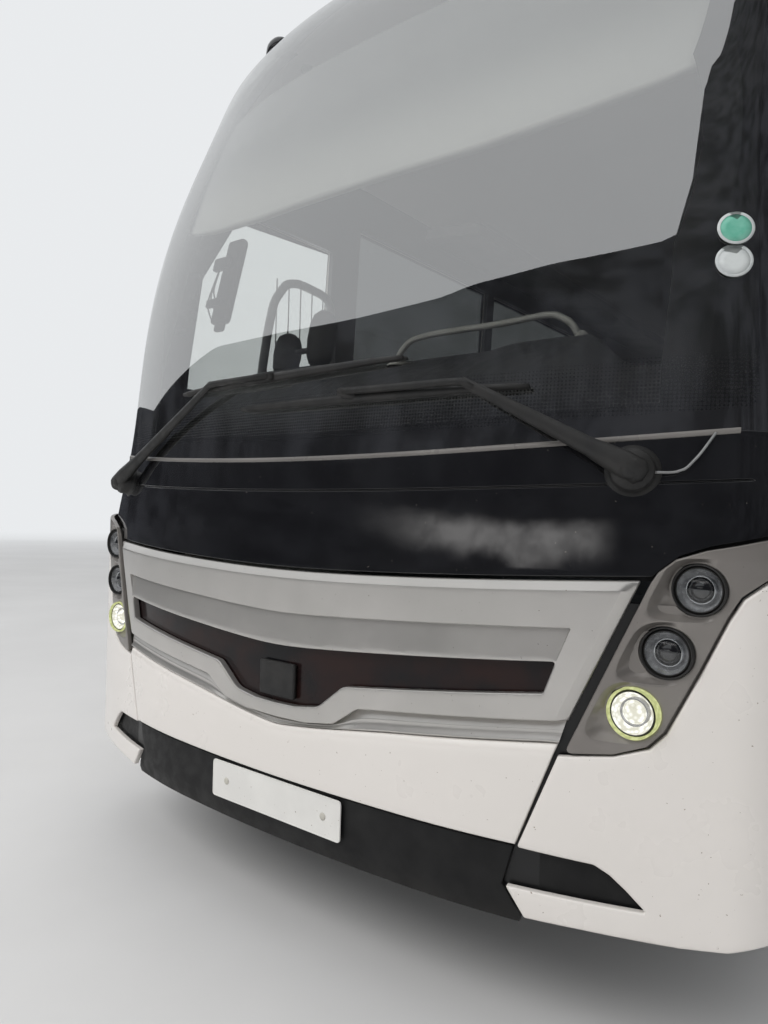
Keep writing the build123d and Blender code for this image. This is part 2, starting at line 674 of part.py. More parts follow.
RAIL_X = 430
RAIL_WIDE = 90
BEAM_DEEP = 80
DECK_THICK = 40
BAY_FLOOR_Z = 452
CAB_UNDER = CAB_Z - DECK_THICK
DECK_UNDER = DECK_Z - DECK_THICK
RAILS = (
    # hand, distance back from, to, rail foot, rail top
    (-1, 420, 3680, 660, CAB_UNDER),
    (1, 1560, 3680, 660, CAB_UNDER),
    (-1, 3600, 8180, 372, BAY_FLOOR_Z),
    (1, 3600, 8180, 372, BAY_FLOOR_Z),
    (-1, 8100, 11700, 700, 900),
    (1, 8100, 11700, 700, 900),
)
CROSS_BEAMS = (
    # distance back, foot, top, half length
    (420, 660, CAB_UNDER, 900),
    (1560, 660, CAB_UNDER, 1150),
    (2200, 700, 780, 520),
    (3300, 700, 780, 520),
    (3600, 372, DECK_UNDER, 1180),
    (5100, 372, BAY_FLOOR_Z, 1180),
    (6600, 372, BAY_FLOOR_Z, 1180),
    (8100, 372, DECK_UNDER, 1180),
    (8350, 700, 780, 520),
    (9500, 700, 780, 520),
    (11620, 480, 900, 900),
)


def chassis():
    frame = None
    for hand, d0, d1, z0, z1 in RAILS:
        x = hand * RAIL_X
        rail = box(x - RAIL_WIDE / 2, x + RAIL_WIDE / 2, back(d0), back(d1), z0, z1)
        frame = rail if frame is None else frame + rail
    for d, z0, z1, half in CROSS_BEAMS:
        beam = box(-half, half, back(d), back(d + BEAM_DEEP), z0, z1)
        if z1 - z0 > 400:
            y0, y1 = back(d) - 1, back(d + BEAM_DEEP) + 1
            beam = beam - both(box(RAIL_X + 60, half - 120, y0, y1, z0 + 100, z1 - 60))
        frame = frame + beam
    keep("chassis", frame)


BAY_PLATE = 20


def decks():
    inner = side_half(DECK_Z) - WALL - BOND
    low_inner = HALF - DOOR_WALL - BOND
    saloon = box(-inner, inner, back(1960), back(LENGTH - 330), DECK_UNDER, DECK_Z)
    cab = box(-low_inner, 180, back(CARRIER_BACK + 40), back(2000), CAB_UNDER, CAB_Z)
    riser = box(-inner, inner, back(1960), back(2000), CAB_UNDER, DECK_Z)
    step_floor = box(420, 1220, back(DOOR_FRONT + 10), back(1500), STEP_Z - DECK_THICK, STEP_Z)
    steps = box(420, 1120, back(1500), back(1540), STEP_Z - DECK_THICK, CAB_Z)
    second = box(380, 420, back(DOOR_FRONT + 10), back(1540), STEP_Z - DECK_THICK, 640)
    second = second + box(180, 420, back(DOOR_FRONT + 10), back(1540), 600, 640)
    second = second + box(140, 180, back(DOOR_FRONT + 10), back(1540), 600, CAB_Z)
    landing = box(140, inner, back(1500), back(2000), CAB_UNDER, CAB_Z)
    keep("floor_deck", saloon + cab + riser + step_floor + steps + second + landing)
    plate = box(-1180, 1180, back(3680), back(8100), BAY_FLOOR_Z, BAY_FLOOR_Z + BAY_PLATE)
    front_wall = box(-1180, 1180, back(3680), back(3700), BAY_FLOOR_Z, DECK_Z - DECK_THICK)
    rear_wall = box(-1180, 1180, back(8080), back(8100), BAY_FLOOR_Z, DECK_Z - DECK_THICK)
    keep("luggage_bay", plate + front_wall + rear_wall)


# Axles, steering and wheels

TYRE_RADIUS = 522
TYRE_WIDE = 295
RIM_RADIUS = 290
WHEEL_X = 1085
TWIN_SPACING = 335
KINGPIN_X = 965
KINGPIN_RADIUS = 24
EYE_HALF = 55
STUB_RADIUS = 35
HUB_RADIUS = 95
STEER_ARM = 180
STEER_Z = 430


def tyre(x):
    """A tyre about the X axis: bead, sidewall, shoulder and plain tread."""
    half, tread = TYRE_WIDE / 2, 125
    profile = [(-105, RIM_RADIUS + BOND), (-half, 400)]
    profile += [(-tread, TYRE_RADIUS - 12), (-tread + 24, TYRE_RADIUS)]
    profile += [(-a, r) for a, r in reversed(profile)]
    face = make_face(Polyline(*[(x + a, 0, r) for a, r in profile], close=True))
    return revolve(face, Axis.X)


def rim(x, hand, stub_end, dish):
    """A disc wheel with its hub: barrel, dished disc with hand holes, and a bore for the stub."""
    wall = 12
    barrel = [(-105, RIM_RADIUS), (105, RIM_RADIUS), (105, RIM_RADIUS - wall), (-105, RIM_RADIUS - wall)]
    face = make_face(Polyline(*[(x + hand * a, 0, r) for a, r in barrel], close=True))
    wheel = revolve(face, Axis.X)
    edge = RIM_RADIUS - wall + 2
    disc = [(dish, HUB_RADIUS - 5), (dish, 190), (dish - 60, edge), (dish - 74, edge)]
    disc += [(dish - 14, 188), (dish - 14, HUB_RADIUS - 5)]
    face = make_face(Polyline(*[(x + hand * a, 0, r) for a, r in disc], close=True))
    wheel = wheel + revolve(face, Axis.X)
    for hole in range(8):
        turn = Rotation(hole * 360 / 8, 0, 0)
        wheel = wheel - turn * Location((x, 0, 226), (0, 90, 0)) * Cylinder(24, 2 * TYRE_WIDE)
    return wheel


def hub(x_in, x_out, x_cap):
    """A hub drum about X with a blind bore for the stub axle, open at x_in."""
    step = 1 if x_cap > x_in else -1
    drum = rod((x_in, 0, 0), (x_out, 0, 0), HUB_RADIUS)
    cap = rod((x_out - step, 0, 0), (x_cap, 0, 0), 70)
    bore = rod((x_in - step, 0, 0), (x_out - step * 10, 0, 0), STUB_RADIUS + PIN_PLAY)
    return drum + cap - bore


def wheels():
    for hand, side in ((1, "left"), (-1, "right")):
        place = Location((0, FRONT_AXLE, WHEEL_Z))
        x = hand * WHEEL_X
        keep(f"tyre_front_{side}", place * tyre(x))
        drum = hub(x - hand * 50, x + hand * 90, x + hand * 125)
        keep(f"rim_front_{side}", place * (rim(x, hand, 0, 70) + drum))
        place = Location((0, REAR_AXLE, WHEEL_Z))
        inner = x - hand * TWIN_SPACING
        keep(f"tyres_rear_{side}", place * (tyre(x) + tyre(inner)))
        centre = (x + inner) / 2
        pair = rim(x, -hand, 0, 96) + rim(inner, hand, 0, 96)
        drum = hub(centre - hand * 90, centre + hand * 150, centre + hand * 195)
        link = rod((centre - hand * 78, 0, 0), (centre + hand * 78, 0, 0), HUB_RADIUS + 40)
        link = link - rod((centre - hand * 90, 0, 0), (centre + hand * 90, 0, 0), HUB_RADIUS - 5)
        keep(f"rims_rear_{side}", place * (pair + drum + link))


def front_axle():
    y, z = FRONT_AXLE, WHEEL_Z
    beam = box(-700, 700, y - 45, y + 45, 330, 440)
    beam = beam - both(box(-701, 701, y + 14, y + 46, 352, 418)) - box(-701, 701, y - 46, y - 14, 352, 418)
    for hand in (-1, 1):
        arm = [(700, 330), (KINGPIN_X - 60, z - EYE_HALF), (KINGPIN_X, z - EYE_HALF)]
        arm += [(KINGPIN_X, z + EYE_HALF), (KINGPIN_X - 60, z + EYE_HALF), (640, 440), (640, 330)]
        line = Polyline(*[(hand * a, y - 45, b) for a, b in arm], close=True)
        end = extrude(make_face(line), amount=90, dir=(0, 1, 0))
        eye = rod((hand * KINGPIN_X, y, z - EYE_HALF), (hand * KINGPIN_X, y, z + EYE_HALF), 48)
        bore = rod((hand * KINGPIN_X, y, 0), (hand * KINGPIN_X, y, 900), KINGPIN_RADIUS + PIN_PLAY)
        beam = beam + end + eye - bore
    for x in (-RAIL_X, RAIL_X):
        beam = beam + rod((x, y, 439), (x, y, RAILS[0][3]), 44)
    keep("front_axle", beam)


def knuckle(hand):
    y, z = FRONT_AXLE, WHEEL_Z
    x = hand * KINGPIN_X
    pin = rod((x, y, z - EYE_HALF - 40), (x, y, z + EYE_HALF + 40), KINGPIN_RADIUS)
    lug_gap = 1
    body = pin
    for sign in (-1, 1):
        z0 = z + sign * (EYE_HALF + lug_gap)
        body = body + rod((x, y, z0), (x, y, z0 + sign * 36), 50)
        plate_x = sorted((x, x + hand * 62))
        plate_z = sorted((z0, z0 + sign * 36))
        body = body + box(*plate_x, y - 42, y + 42, *plate_z)
    web_x = sorted((x + hand * 52, x + hand * 66))
    web = box(*web_x, y - 42, y + 42, z - EYE_HALF - 36, z + EYE_HALF + 36)
    stub_in = x + hand * 60
    stub = rod((stub_in, y, z), (hand * (WHEEL_X + 78), y, z), STUB_RADIUS)
    arm = box(x - 16, x + 16, y + 20, y + STEER_ARM, STEER_Z - 14, STEER_Z + 14)
    arm = arm + rod((x, y + STEER_ARM, STEER_Z - 14), (x, y + STEER_ARM, STEER_Z + 14), 24)
    ball = rod((x, y + STEER_ARM, STEER_Z - 44), (x, y + STEER_ARM, STEER_Z), 11)
    return body + web + stub + arm + ball


def steering():
    for hand, side in ((1, "left"), (-1, "right")):
        keep(f"knuckle_{side}", knuckle(hand))
    y, z = FRONT_AXLE + STEER_ARM, STEER_Z - 32
    bar = rod((-KINGPIN_X, y, z), (KINGPIN_X, y, z), 13)
    for hand, play in ((1, PIN_PLAY), (-1, 1)):
        x = hand * KINGPIN_X
        bar = bar + rod((x, y, z - 14), (x, y, z + 14), 22) - rod((x, y, z - 30), (x, y, z + 30), 11 + play)
    keep("tie_rod", bar)


BEAM_RADIUS = 62
BEAM_HALF = 560
BOWL_RADIUS = 200
BOWL_HALF = 190
STUB_REACH = 138


def drive_axle():
    """Beam, bowl and stub axles as one turned piece, on posts that reach the rails."""
    y, z = REAR_AXLE, WHEEL_Z
    stub_end = WHEEL_X - TWIN_SPACING / 2 + STUB_REACH
    turned = [(BOWL_HALF, BEAM_RADIUS), (BEAM_HALF, BEAM_RADIUS), (BEAM_HALF, STUB_RADIUS)]
    turned += [(stub_end, STUB_RADIUS), (stub_end, 0)]
    turned += [(-x, r) for x, r in reversed(turned)]
    crest = ThreePointArc((-BOWL_HALF, 0, BEAM_RADIUS), (0, 0, BOWL_RADIUS), (BOWL_HALF, 0, BEAM_RADIUS))
    outline = make_face([Polyline(*[(x, 0, r) for x, r in turned]), crest])
    axle = Location((0, y, z)) * revolve(outline, Axis.X)
    for x in (-RAIL_X, RAIL_X):
        axle = axle + rod((x, y, z + 40), (x, y, 700), 60)
    keep("drive_axle", axle)
    engine_half = RAIL_X - RAIL_WIDE / 2 - BOND
    keep("engine", box(-engine_half, engine_half, back(10000), back(11560), 480, 1240))


TOWING_X = -275
TOWING_DEEP = 60
TOWING_BORE = 20
TOWING_EYES = (
    # distance back, underside of the beam that carries it
    (460, 660),
    (11660, 480),
)


def towing_eyes():
    eyes = None
    for d, top in TOWING_EYES:
        y, low = back(d), top - TOWING_DEEP
        lug = rod((TOWING_X, y, low), (TOWING_X, y, top), 40)
        lug = lug - rod((TOWING_X, y, low - 1), (TOWING_X, y, top + 1), TOWING_BORE)
        eyes = lug if eyes is None else eyes + lug
    keep("towing_eyes", eyes)


# Inside

SEAT_PITCH = 790
SEAT_ROWS = 11
SEAT_FROM = 2500


SEAT_INNER = 260
SEAT_PAIR_WIDE = 845
DRIVER_SEAT_WIDE = 500


def seats():
    """Double seats either side of the gangway, and the driver's seat."""
    group = []
    # side view of a seat: distance back from the cushion's front, height over the deck
    profile = [(0, 330), (40, 300), (110, 300), (110, 0), (190, 0), (190, 300), (470, 300), (640, 1060)]
    profile += [(590, 1110), (540, 1090), (430, 520), (400, 440), (30, 450), (0, 420)]
    for row in range(SEAT_ROWS):
        d = SEAT_FROM + row * SEAT_PITCH
        for hand in (-1, 1):
            line = Polyline(*[(hand * SEAT_INNER, back(d + u), DECK_Z + v) for u, v in profile], close=True)
            group.append(extrude(make_face(line), amount=SEAT_PAIR_WIDE, dir=(hand, 0, 0)))
    line = Polyline(*[(-900, back(1330 + u), CAB_Z + v) for u, v in profile], close=True)
    group.append(extrude(make_face(line), amount=DRIVER_SEAT_WIDE, dir=(1, 0, 0)))
    keep("seats", Compound(children=group))


RACK_Z = 2960
WELL_SIDE = 400
WHEEL_RING = 225
WHEEL_GRIP = 15
HEADER_Z = 2262
HEADER_TOP = 2900
HEADER_WALL = 30
HEADER_SHELF = 560


def screen_header():
    """The blank sign housing across the top of the windscreen, with its shelf."""
    inner = UPPER[WALL]
    face = inner - Location((0, HEADER_WALL, 0)) * inner
    face = face & box(-HALF, HALF, NOSE, back(900), HEADER_Z, HEADER_TOP)
    shelf = inner & box(-HALF, HALF, NOSE, back(HEADER_SHELF), HEADER_Z, HEADER_Z + HEADER_WALL)
    keep("screen_header", face + shelf)


def cab():
    top = [(250, 1330), (330, 1470), (640, 1500), (700, 1440), (700, 1250), (520, 1180), (300, 1180)]
    # beside the entry well the panel stops short of whoever steps in
    short = [(250, 1330), (330, 1470), (600, 1485), (630, 1440), (630, 1250), (520, 1180), (300, 1180)]
    panel = side_points(top, -1120, WELL_SIDE) + side_points(short, WELL_SIDE - 1, 1050)
    pedestal = [(650, CAB_Z), (760, CAB_Z), (820, 1300), (800, 1440), (480, 1440), (480, 1200)]
    desk = side_points(pedestal, -1000, -300)
    keep("dashboard", (panel + desk) & UPPER[WALL])
    centre = Vector(-650, back(930), 1560)
    lean = Plane(origin=centre, z_dir=(0, 0.5, 0.866))
    grip = Plane.XZ * Location((WHEEL_RING, 0, 0)) * RegularPolygon(WHEEL_GRIP, 8)
    wheel = lean * revolve(grip, Axis.Z)
    spoke = lean * Box(430, 30, 12)
    column = rod((-650, back(928), 1558), (-650, back(790), 1320), 28)
    column_cut = UPPER[WALL] - PARTS["dashboard"]
    keep("steering_wheel", wheel + spoke + (column & column_cut))
    rack = [(0, 0), (380, -40), (390, 20), (40, 60), (0, 60)]
    racks = None
    for hand in (-1, 1):
        wall_x = side_half(RACK_Z + 60) - WALL - BOND
        line = Polyline(*[(hand * (wall_x - u), back(2300), RACK_Z + v) for u, v in rack], close=True)
        shelf = extrude(make_face(line), amount=9500, dir=(0, 1, 0))
        racks = shelf if racks is None else racks + shelf
    keep("luggage_racks", racks)


WIPERS = (
    # pivot, elbow and clip, each as x and height on the glass
    ((930, 1345), (540, 1575), (140, 1560)),
    ((-930, 1345), (-470, 1660), (-170, 1650)),
)


def wipers():
    group = []
    for pivot, elbow, clip in WIPERS:
        lift = 70

        def on_screen(x, z, lift=lift):
            lean = 60 + (z - 1340) * 0.12
            bulge = FRONT_RADIUS - sqrt(FRONT_RADIUS**2 - x**2) + max(abs(x) - 450, 0) ** 2 * 0.00016
            return (x, back(lean + bulge - lift), z)

        hub_end = on_screen(*pivot, lift=85)
        hub_start = on_screen(*pivot, lift=-30)
        arm = rod(hub_start, hub_end, 34) - UPPER[-BOND]
        arm = arm + rod(on_screen(*pivot, lift=74), on_screen(*elbow), 9)
        arm = arm + rod(on_screen(*elbow), on_screen(*clip), 8) + Location(on_screen(*elbow)) * Sphere(10)
        for end in (clip[0] - 430, clip[0] + 430):
            z = clip[1] - 25
            arm = arm + rod(on_screen(clip[0], z, 40), on_screen(end, z, 40), 10)
        arm = arm + rod(on_screen(*clip), on_screen(clip[0], clip[1] - 25, 38), 8)
        group.append(arm)
    keep("wipers", Compound(children=group))


def camera_arms():
    """Short camera pods on the front corners of the roof."""
    stalk = rod((1050, back(1130), 3415), (1100, back(975), 3455), 30)
    head = rod((1060, back(960), 3475), (1150, back(950), 3440), 42)
    keep("camera_arms", both((stalk + head) - UPPER[-BOND]))


windscreen_and_frame()
grille_and_bumper()
corner_and_lamps()
scuttle()
walls = {}
glass = []
for hand, side in ((1, "left"), (-1, "right")):
    wall, panes = side_wall(hand)
    walls[side] = wall
    glass.append(panes)
lockers(walls)
skirts()
glass.append(tail(walls))
keep("side_left", walls["left"])
keep("side_right", walls["right"])
keep("saloon_glass", glass[0] + glass[1] + glass[2])
roof()
door_leaf()
door_arm()
chassis()
carrier()
decks()
wheels()
front_axle()
steering()
drive_axle()
towing_eyes()
seats()
screen_header()
cab()
wipers()
camera_arms()

os.makedirs("parts", exist_ok=True)
for name, shape in PARTS.items():
    solids = shape.solids()
    export_step(solids[0] if len(solids) == 1 else Compound(children=solids), f"parts/{name}.step")
    print(name, len(solids), round(sum(s.volume for s in solids) / 1e6, 2), "litres")
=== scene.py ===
# %% [markdown]
# # A touring coach, dressed in Blender
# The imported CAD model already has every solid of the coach, in metres, on its own body.
# This lesson gives it its looks. Each step says what a piece is on the real coach, how it
# could be made and why this way was chosen. Nothing here moves a CAD part: a piece either
# gets a better material or is hidden behind a finer mesh that rides on the same body.

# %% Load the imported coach
from math import asin, cos, hypot, pi, radians, sin, sqrt, tan

import bmesh
import bpy
from mathutils import Matrix, Vector
from mathutils.geometry import delaunay_2d_cdt


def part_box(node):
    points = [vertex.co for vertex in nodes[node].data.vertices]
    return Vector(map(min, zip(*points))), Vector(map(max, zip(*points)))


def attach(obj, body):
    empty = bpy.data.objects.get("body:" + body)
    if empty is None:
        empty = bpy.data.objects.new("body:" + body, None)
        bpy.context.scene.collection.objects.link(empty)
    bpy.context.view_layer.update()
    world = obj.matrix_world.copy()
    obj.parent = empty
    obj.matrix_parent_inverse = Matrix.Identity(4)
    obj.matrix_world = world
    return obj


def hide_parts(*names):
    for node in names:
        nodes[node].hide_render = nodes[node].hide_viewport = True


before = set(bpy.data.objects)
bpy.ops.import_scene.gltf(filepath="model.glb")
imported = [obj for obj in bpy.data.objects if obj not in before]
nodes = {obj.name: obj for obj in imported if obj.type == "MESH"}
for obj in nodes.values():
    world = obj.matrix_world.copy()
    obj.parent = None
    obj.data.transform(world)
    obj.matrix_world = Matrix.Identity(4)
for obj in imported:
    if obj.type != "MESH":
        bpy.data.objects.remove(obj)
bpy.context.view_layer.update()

# %% [markdown]
# ## The camera
# The photograph was taken by hand, close to the coach's left front corner, with a wide
# lens and a slight roll. Its place and lens were worked out from points of the coach
# whose real sizes are known, so the camera is placed by numbers and not by eye.

# %% Place the camera
IMAGE_LONG_SIDE = 1024
FOCAL_PIXELS = 742.3
SENSOR = 36.0
CAMERA_PLACE = Vector((1.5436, -7.6352, 1.245))
CAMERA_YAW, CAMERA_PITCH, CAMERA_ROLL = radians(-38.03), radians(0.084), radians(1.535)


def camera_axes(yaw, pitch, roll):
    """The camera's right, up and forward directions in the coach's frame."""
    ahead = Vector((sin(yaw) * cos(pitch), cos(yaw) * cos(pitch), sin(pitch)))
    right = Vector((cos(yaw), -sin(yaw), 0))
    up = right.cross(ahead)
    return cos(roll) * right + sin(roll) * up, cos(roll) * up - sin(roll) * right, ahead


right, up, ahead = camera_axes(CAMERA_YAW, CAMERA_PITCH, CAMERA_ROLL)
camera = bpy.data.objects.new("camera", bpy.data.cameras.new("camera"))
bpy.context.scene.collection.objects.link(camera)
camera.matrix_world = Matrix((
    (right.x, up.x, -ahead.x, CAMERA_PLACE.x),
    (right.y, up.y, -ahead.y, CAMERA_PLACE.y),
    (right.z, up.z, -ahead.z, CAMERA_PLACE.z),
    (0, 0, 0, 1),
))
camera.data.sensor_width = SENSOR
camera.data.lens = FOCAL_PIXELS / IMAGE_LONG_SIDE * SENSOR
camera.data.clip_start, camera.data.clip_end = 0.05, 400
bpy.context.scene.camera = camera
print("lens in millimetres:", round(camera.data.lens, 2))

# %% [markdown]
# ## Materials from nodes
# Real paint, rubber and plastic are never one flat colour. Image textures could carry the
# changes, but noise worked out from the object's own coordinates stays sharp at any
# distance and needs no file. One helper makes a surface whose colour drifts between two
# tones, with specks of dirt, uneven gloss and a fine relief.

# %% A helper for painted, moulded and cast surfaces
MATERIALS = {}


class Finish:
    """A new material and the few node steps that every finish here is made of."""

    def __init__(self, name):
        self.material = bpy.data.materials.new(name)
        self.material.use_nodes = True
        self.tree = self.material.node_tree
        self.tree.nodes.clear()
        self.place = self.add("ShaderNodeTexCoord").outputs["Object"]
        MATERIALS[name] = self.material

    def add(self, kind, **settings):
        node = self.tree.nodes.new(kind)
        for key, value in settings.items():
            setattr(node, key, value)
        return node

    def link(self, source, target):
        self.tree.links.new(source, target)

    def noise(self, scale, detail=3.0, roughness=0.55, stretch=(1, 1, 1)):
        """Noise in the object's own coordinates, from 0 to 1."""
        mapping = self.add("ShaderNodeMapping")
        mapping.inputs["Scale"].default_value = stretch
        self.link(self.place, mapping.inputs["Vector"])
        node = self.add("ShaderNodeTexNoise")
        node.inputs["Scale"].default_value = scale
        node.inputs["Detail"].default_value = detail
        node.inputs["Roughness"].default_value = roughness
        self.link(mapping.outputs["Vector"], node.inputs["Vector"])
        return node.outputs["Fac"]

    def span(self, source, low, high, to_low=0.0, to_high=1.0, smooth=True):
        """The source's range low..high stretched to another range, and held at its ends."""
        node = self.add("ShaderNodeMapRange", interpolation_type="SMOOTHSTEP" if smooth else "LINEAR")
        for index, value in ((1, low), (2, high), (3, to_low), (4, to_high)):
            node.inputs[index].default_value = value
        self.link(source, node.inputs[0])
        return node.outputs[0]

    def maths(self, operation, first, second=None):
        node = self.add("ShaderNodeMath", operation=operation)
        for index, value in enumerate((first, second)):
            if value is None:
                continue
            if isinstance(value, (int, float)):
                node.inputs[index].default_value = value
            else:
                self.link(value, node.inputs[index])
        return node.outputs[0]

    def mix(self, share, first, second):
        """Two colours, or a colour and a socket, mixed by share."""
        node = self.add("ShaderNodeMix", data_type="RGBA")
        for index, value in ((6, first), (7, second)):
            if isinstance(value, tuple):
                node.inputs[index].default_value = (*value, 1)
            else:
                self.link(value, node.inputs[index])
        if isinstance(share, (int, float)):
            node.inputs[0].default_value = share
        else:
            self.link(share, node.inputs[0])
        return node.outputs[2]

    def axes(self):
        """The three coordinates of the place that is being shaded."""
        parts = self.add("ShaderNodeSeparateXYZ")
        self.link(self.place, parts.inputs[0])
        return parts.outputs

    def plain(self, kind, socket, value, output=0):
        """A simple node with one plain value, such as a shader of one colour."""
        node = self.add(kind)
        node.inputs[socket].default_value = (*value, 1) if isinstance(value, tuple) else value
        return node.outputs[output]

    def blend(self, share, first, second):
        """Two shaders mixed by share."""
        node = self.add("ShaderNodeMixShader")
        for index, source in enumerate((share, first, second)):
            self.link(source, node.inputs[index])
        return node.outputs[0]

    def sheen(self, shader, power, mirror, roughness=0.0):
        """A clear gloss over a shader: weak straight on, and a full mirror at grazing angles."""
        facing = self.plain("ShaderNodeLayerWeight", "Blend", 0.5, "Facing")
        share = self.span(self.maths("POWER", facing, power), 0.0, 1.0, mirror, 1.0, smooth=False)
        return self.blend(share, shader, self.plain("ShaderNodeBsdfGlossy", "Roughness", roughness))

    def cells(self, scale):
        """Distance from the middles of small random cells."""
        node = self.add("ShaderNodeTexVoronoi")
        node.inputs["Scale"].default_value = scale
        self.link(self.place, node.inputs["Vector"])
        return node.outputs["Distance"]

    def emission(self, colour, strength=1.0):
        node = self.add("ShaderNodeEmission")
        if isinstance(colour, tuple):
            node.inputs["Color"].default_value = (*colour, 1)
        else:
            self.link(colour, node.inputs["Color"])
        node.inputs["Strength"].default_value = strength
        return node.outputs[0]

    def bump(self, height, strength, distance=0.001):
        node = self.add("ShaderNodeBump")
        node.inputs["Strength"].default_value = strength
        node.inputs["Distance"].default_value = distance
        self.link(height, node.inputs["Height"])
        return node.outputs["Normal"]

    def principled(self, colour, roughness, normal=None, **plain):
        """The main shader: linked colour and roughness, and plain values on the rest."""
        node = self.add("ShaderNodeBsdfPrincipled")
        for value, socket in ((colour, "Base Color"), (roughness, "Roughness"), (normal, "Normal")):
            if value is None:
                continue
            if isinstance(value, tuple):
                node.inputs[socket].default_value = (*value, 1)
            elif isinstance(value, (int, float)):
                node.inputs[socket].default_value = value
            else:
                self.link(value, node.inputs[socket])
        for key, value in plain.items():
            node.inputs[key.replace("_", " ")].default_value = value
        return node.outputs[0]

    def done(self, shader):
        output = self.add("ShaderNodeOutputMaterial")
        self.link(shader, output.inputs["Surface"])
        return self.material


def surface(name, tone, second, scale=3.0, gloss=(0.35, 0.45), grain=(400.0, 0.05),
            specks=None, foot=None, lining=None, **plain):
    """A finish that drifts between two tones.

    specks is (colour, share), foot is (colour, height, most) and lining is the colour inside a wall.
    """
    finish = Finish(name)
    colour = finish.mix(finish.span(finish.noise(scale, 4), 0.35, 0.65), tone, second)
    rough = finish.span(finish.noise(scale * 3.7, 3), 0.3, 0.7, gloss[0], gloss[1])
    if specks:
        dirt, share = specks
        dots = finish.span(finish.noise(140, 2, 0.4), 0.765 - share, 0.795 - share)
        colour = finish.mix(dots, colour, dirt)
    if foot:
        dirt, height, most = foot
        low = finish.span(finish.axes()[2], 0.25, height, 1.0, 0.0)
        uneven = finish.span(finish.noise(6, 5), 0.3, 0.75, 0.2 * most, most)
        colour = finish.mix(finish.maths("MULTIPLY", low, uneven), colour, dirt)
    if lining:
        x, _, z = finish.axes()
        tilt = finish.maths("MULTIPLY", finish.maths("MAXIMUM", finish.maths("SUBTRACT", z, 1.04), 0.0), 0.043)
        wall = finish.maths("ADD", finish.maths("ABSOLUTE", x), tilt)
        above_floor = finish.maths("GREATER_THAN", z, 1.0)
        lined = finish.maths("MULTIPLY", finish.maths("LESS_THAN", wall, 1.255), above_floor)
        colour = finish.mix(lined, colour, lining)
    normal = finish.bump(finish.noise(grain[0], 3), grain[1])
    return finish.done(finish.principled(colour, rough, normal, **plain))


DUST = (0.30, 0.26, 0.21)
surface("white_paint", (0.67, 0.632, 0.595), (0.655, 0.618, 0.58), 2.2, (0.27, 0.30), (300, 0.004),
        specks=((0.20, 0.15, 0.11), 0.012), foot=(DUST, 0.42, 0.05), Coat_Weight=0.6, Coat_Roughness=0.05)
surface("silver_paint", (0.56, 0.54, 0.515), (0.51, 0.495, 0.47), 2.2, (0.30, 0.38), (2600, 0.08),
        specks=((0.20, 0.17, 0.14), 0.006), Metallic=0.8, Coat_Weight=0.5, Coat_Roughness=0.06)
LAMP_GREYS = ((0.205, 0.188, 0.174), (0.235, 0.217, 0.200))
surface("lamp_grey", *LAMP_GREYS, 4, (0.34, 0.46), (1800, 0.06), specks=((0.12, 0.10, 0.08), 0.0), Metallic=0.45,
    Coat_Weight=0.25)
surface("gloss_black", (0.006, 0.006, 0.007), (0.010, 0.010, 0.011), 2, (0.04, 0.09), (700, 0.006),
        specks=((0.10, 0.09, 0.08), 0.0), Coat_Weight=1.0, Coat_Roughness=0.02)
surface("satin_black", (0.014, 0.014, 0.014), (0.022, 0.021, 0.020), 9, (0.45, 0.62), (1500, 0.2),
        Specular_IOR_Level=0.4)
surface("tube_grey", (0.30, 0.30, 0.30), (0.25, 0.25, 0.25), 20, (0.35, 0.5), (1500, 0.1), Metallic=0.4)
surface("valance_black", (0.0075, 0.0075, 0.0078), (0.012, 0.012, 0.012), 7, (0.45, 0.6), (900, 0.2),
        foot=(DUST, 0.38, 0.04), Specular_IOR_Level=0.25)
surface("slot_black", (0.006, 0.006, 0.007), (0.018, 0.008, 0.007), 5, (0.12, 0.2), (700, 0.01),
        Specular_IOR_Level=0.22)
print("painted finishes:", sorted(MATERIALS))

# %% [markdown]
# ## The shape of the nose
# The nose is one smooth form: in plan a shallow arc, a rounder shoulder and a tight
# corner, and in side view a lean that grows towards the roof. The CAD panels follow it,
# but as flat facets, which show in gloss. So the front panels are made again here as
# fine meshes. Each point is found from two numbers, its girth, measured round the nose
# from the middle, and its height.

# %% The nose as a function of girth and height
NOSE_Y = -6.15
FRONT_RADIUS, FRONT_HALF, SHOULDER_RADIUS, CORNER_RADIUS = 6.0, 0.45, 2.2, 0.18
BODY_HALF, SIDE_TILT, UPPER_FOOT, CORNER_GROWTH, CORNER_FOOT = 1.275, 0.043, 1.04, 0.057, 1.43
LEAN_HEIGHTS = (1.04, 1.25, 1.43, 1.9, 2.4, 2.9, 3.3, 3.64)
LEANS = (0.008, 0.040, 0.075, 0.125, 0.235, 0.435, 0.680, 1.150)


def bending(xs, ys):
    """Second derivatives of the natural cubic spline through points."""
    count = len(xs)
    low, middle, high, target = [0.0] * count, [1.0] * count, [0.0] * count, [0.0] * count
    for i in range(1, count - 1):
        before, after = xs[i] - xs[i - 1], xs[i + 1] - xs[i]
        low[i], middle[i], high[i] = before, 2 * (before + after), after
        target[i] = 6 * ((ys[i + 1] - ys[i]) / after - (ys[i] - ys[i - 1]) / before)
    for i in range(1, count):
        share = low[i] / middle[i - 1]
        middle[i] -= share * high[i - 1]
        target[i] -= share * target[i - 1]
    found = [0.0] * count
    for i in range(count - 1, -1, -1):
        found[i] = (target[i] - (high[i] * found[i + 1] if i < count - 1 else 0)) / middle[i]
    return found


LEAN_BENDING = bending(LEAN_HEIGHTS, LEANS)


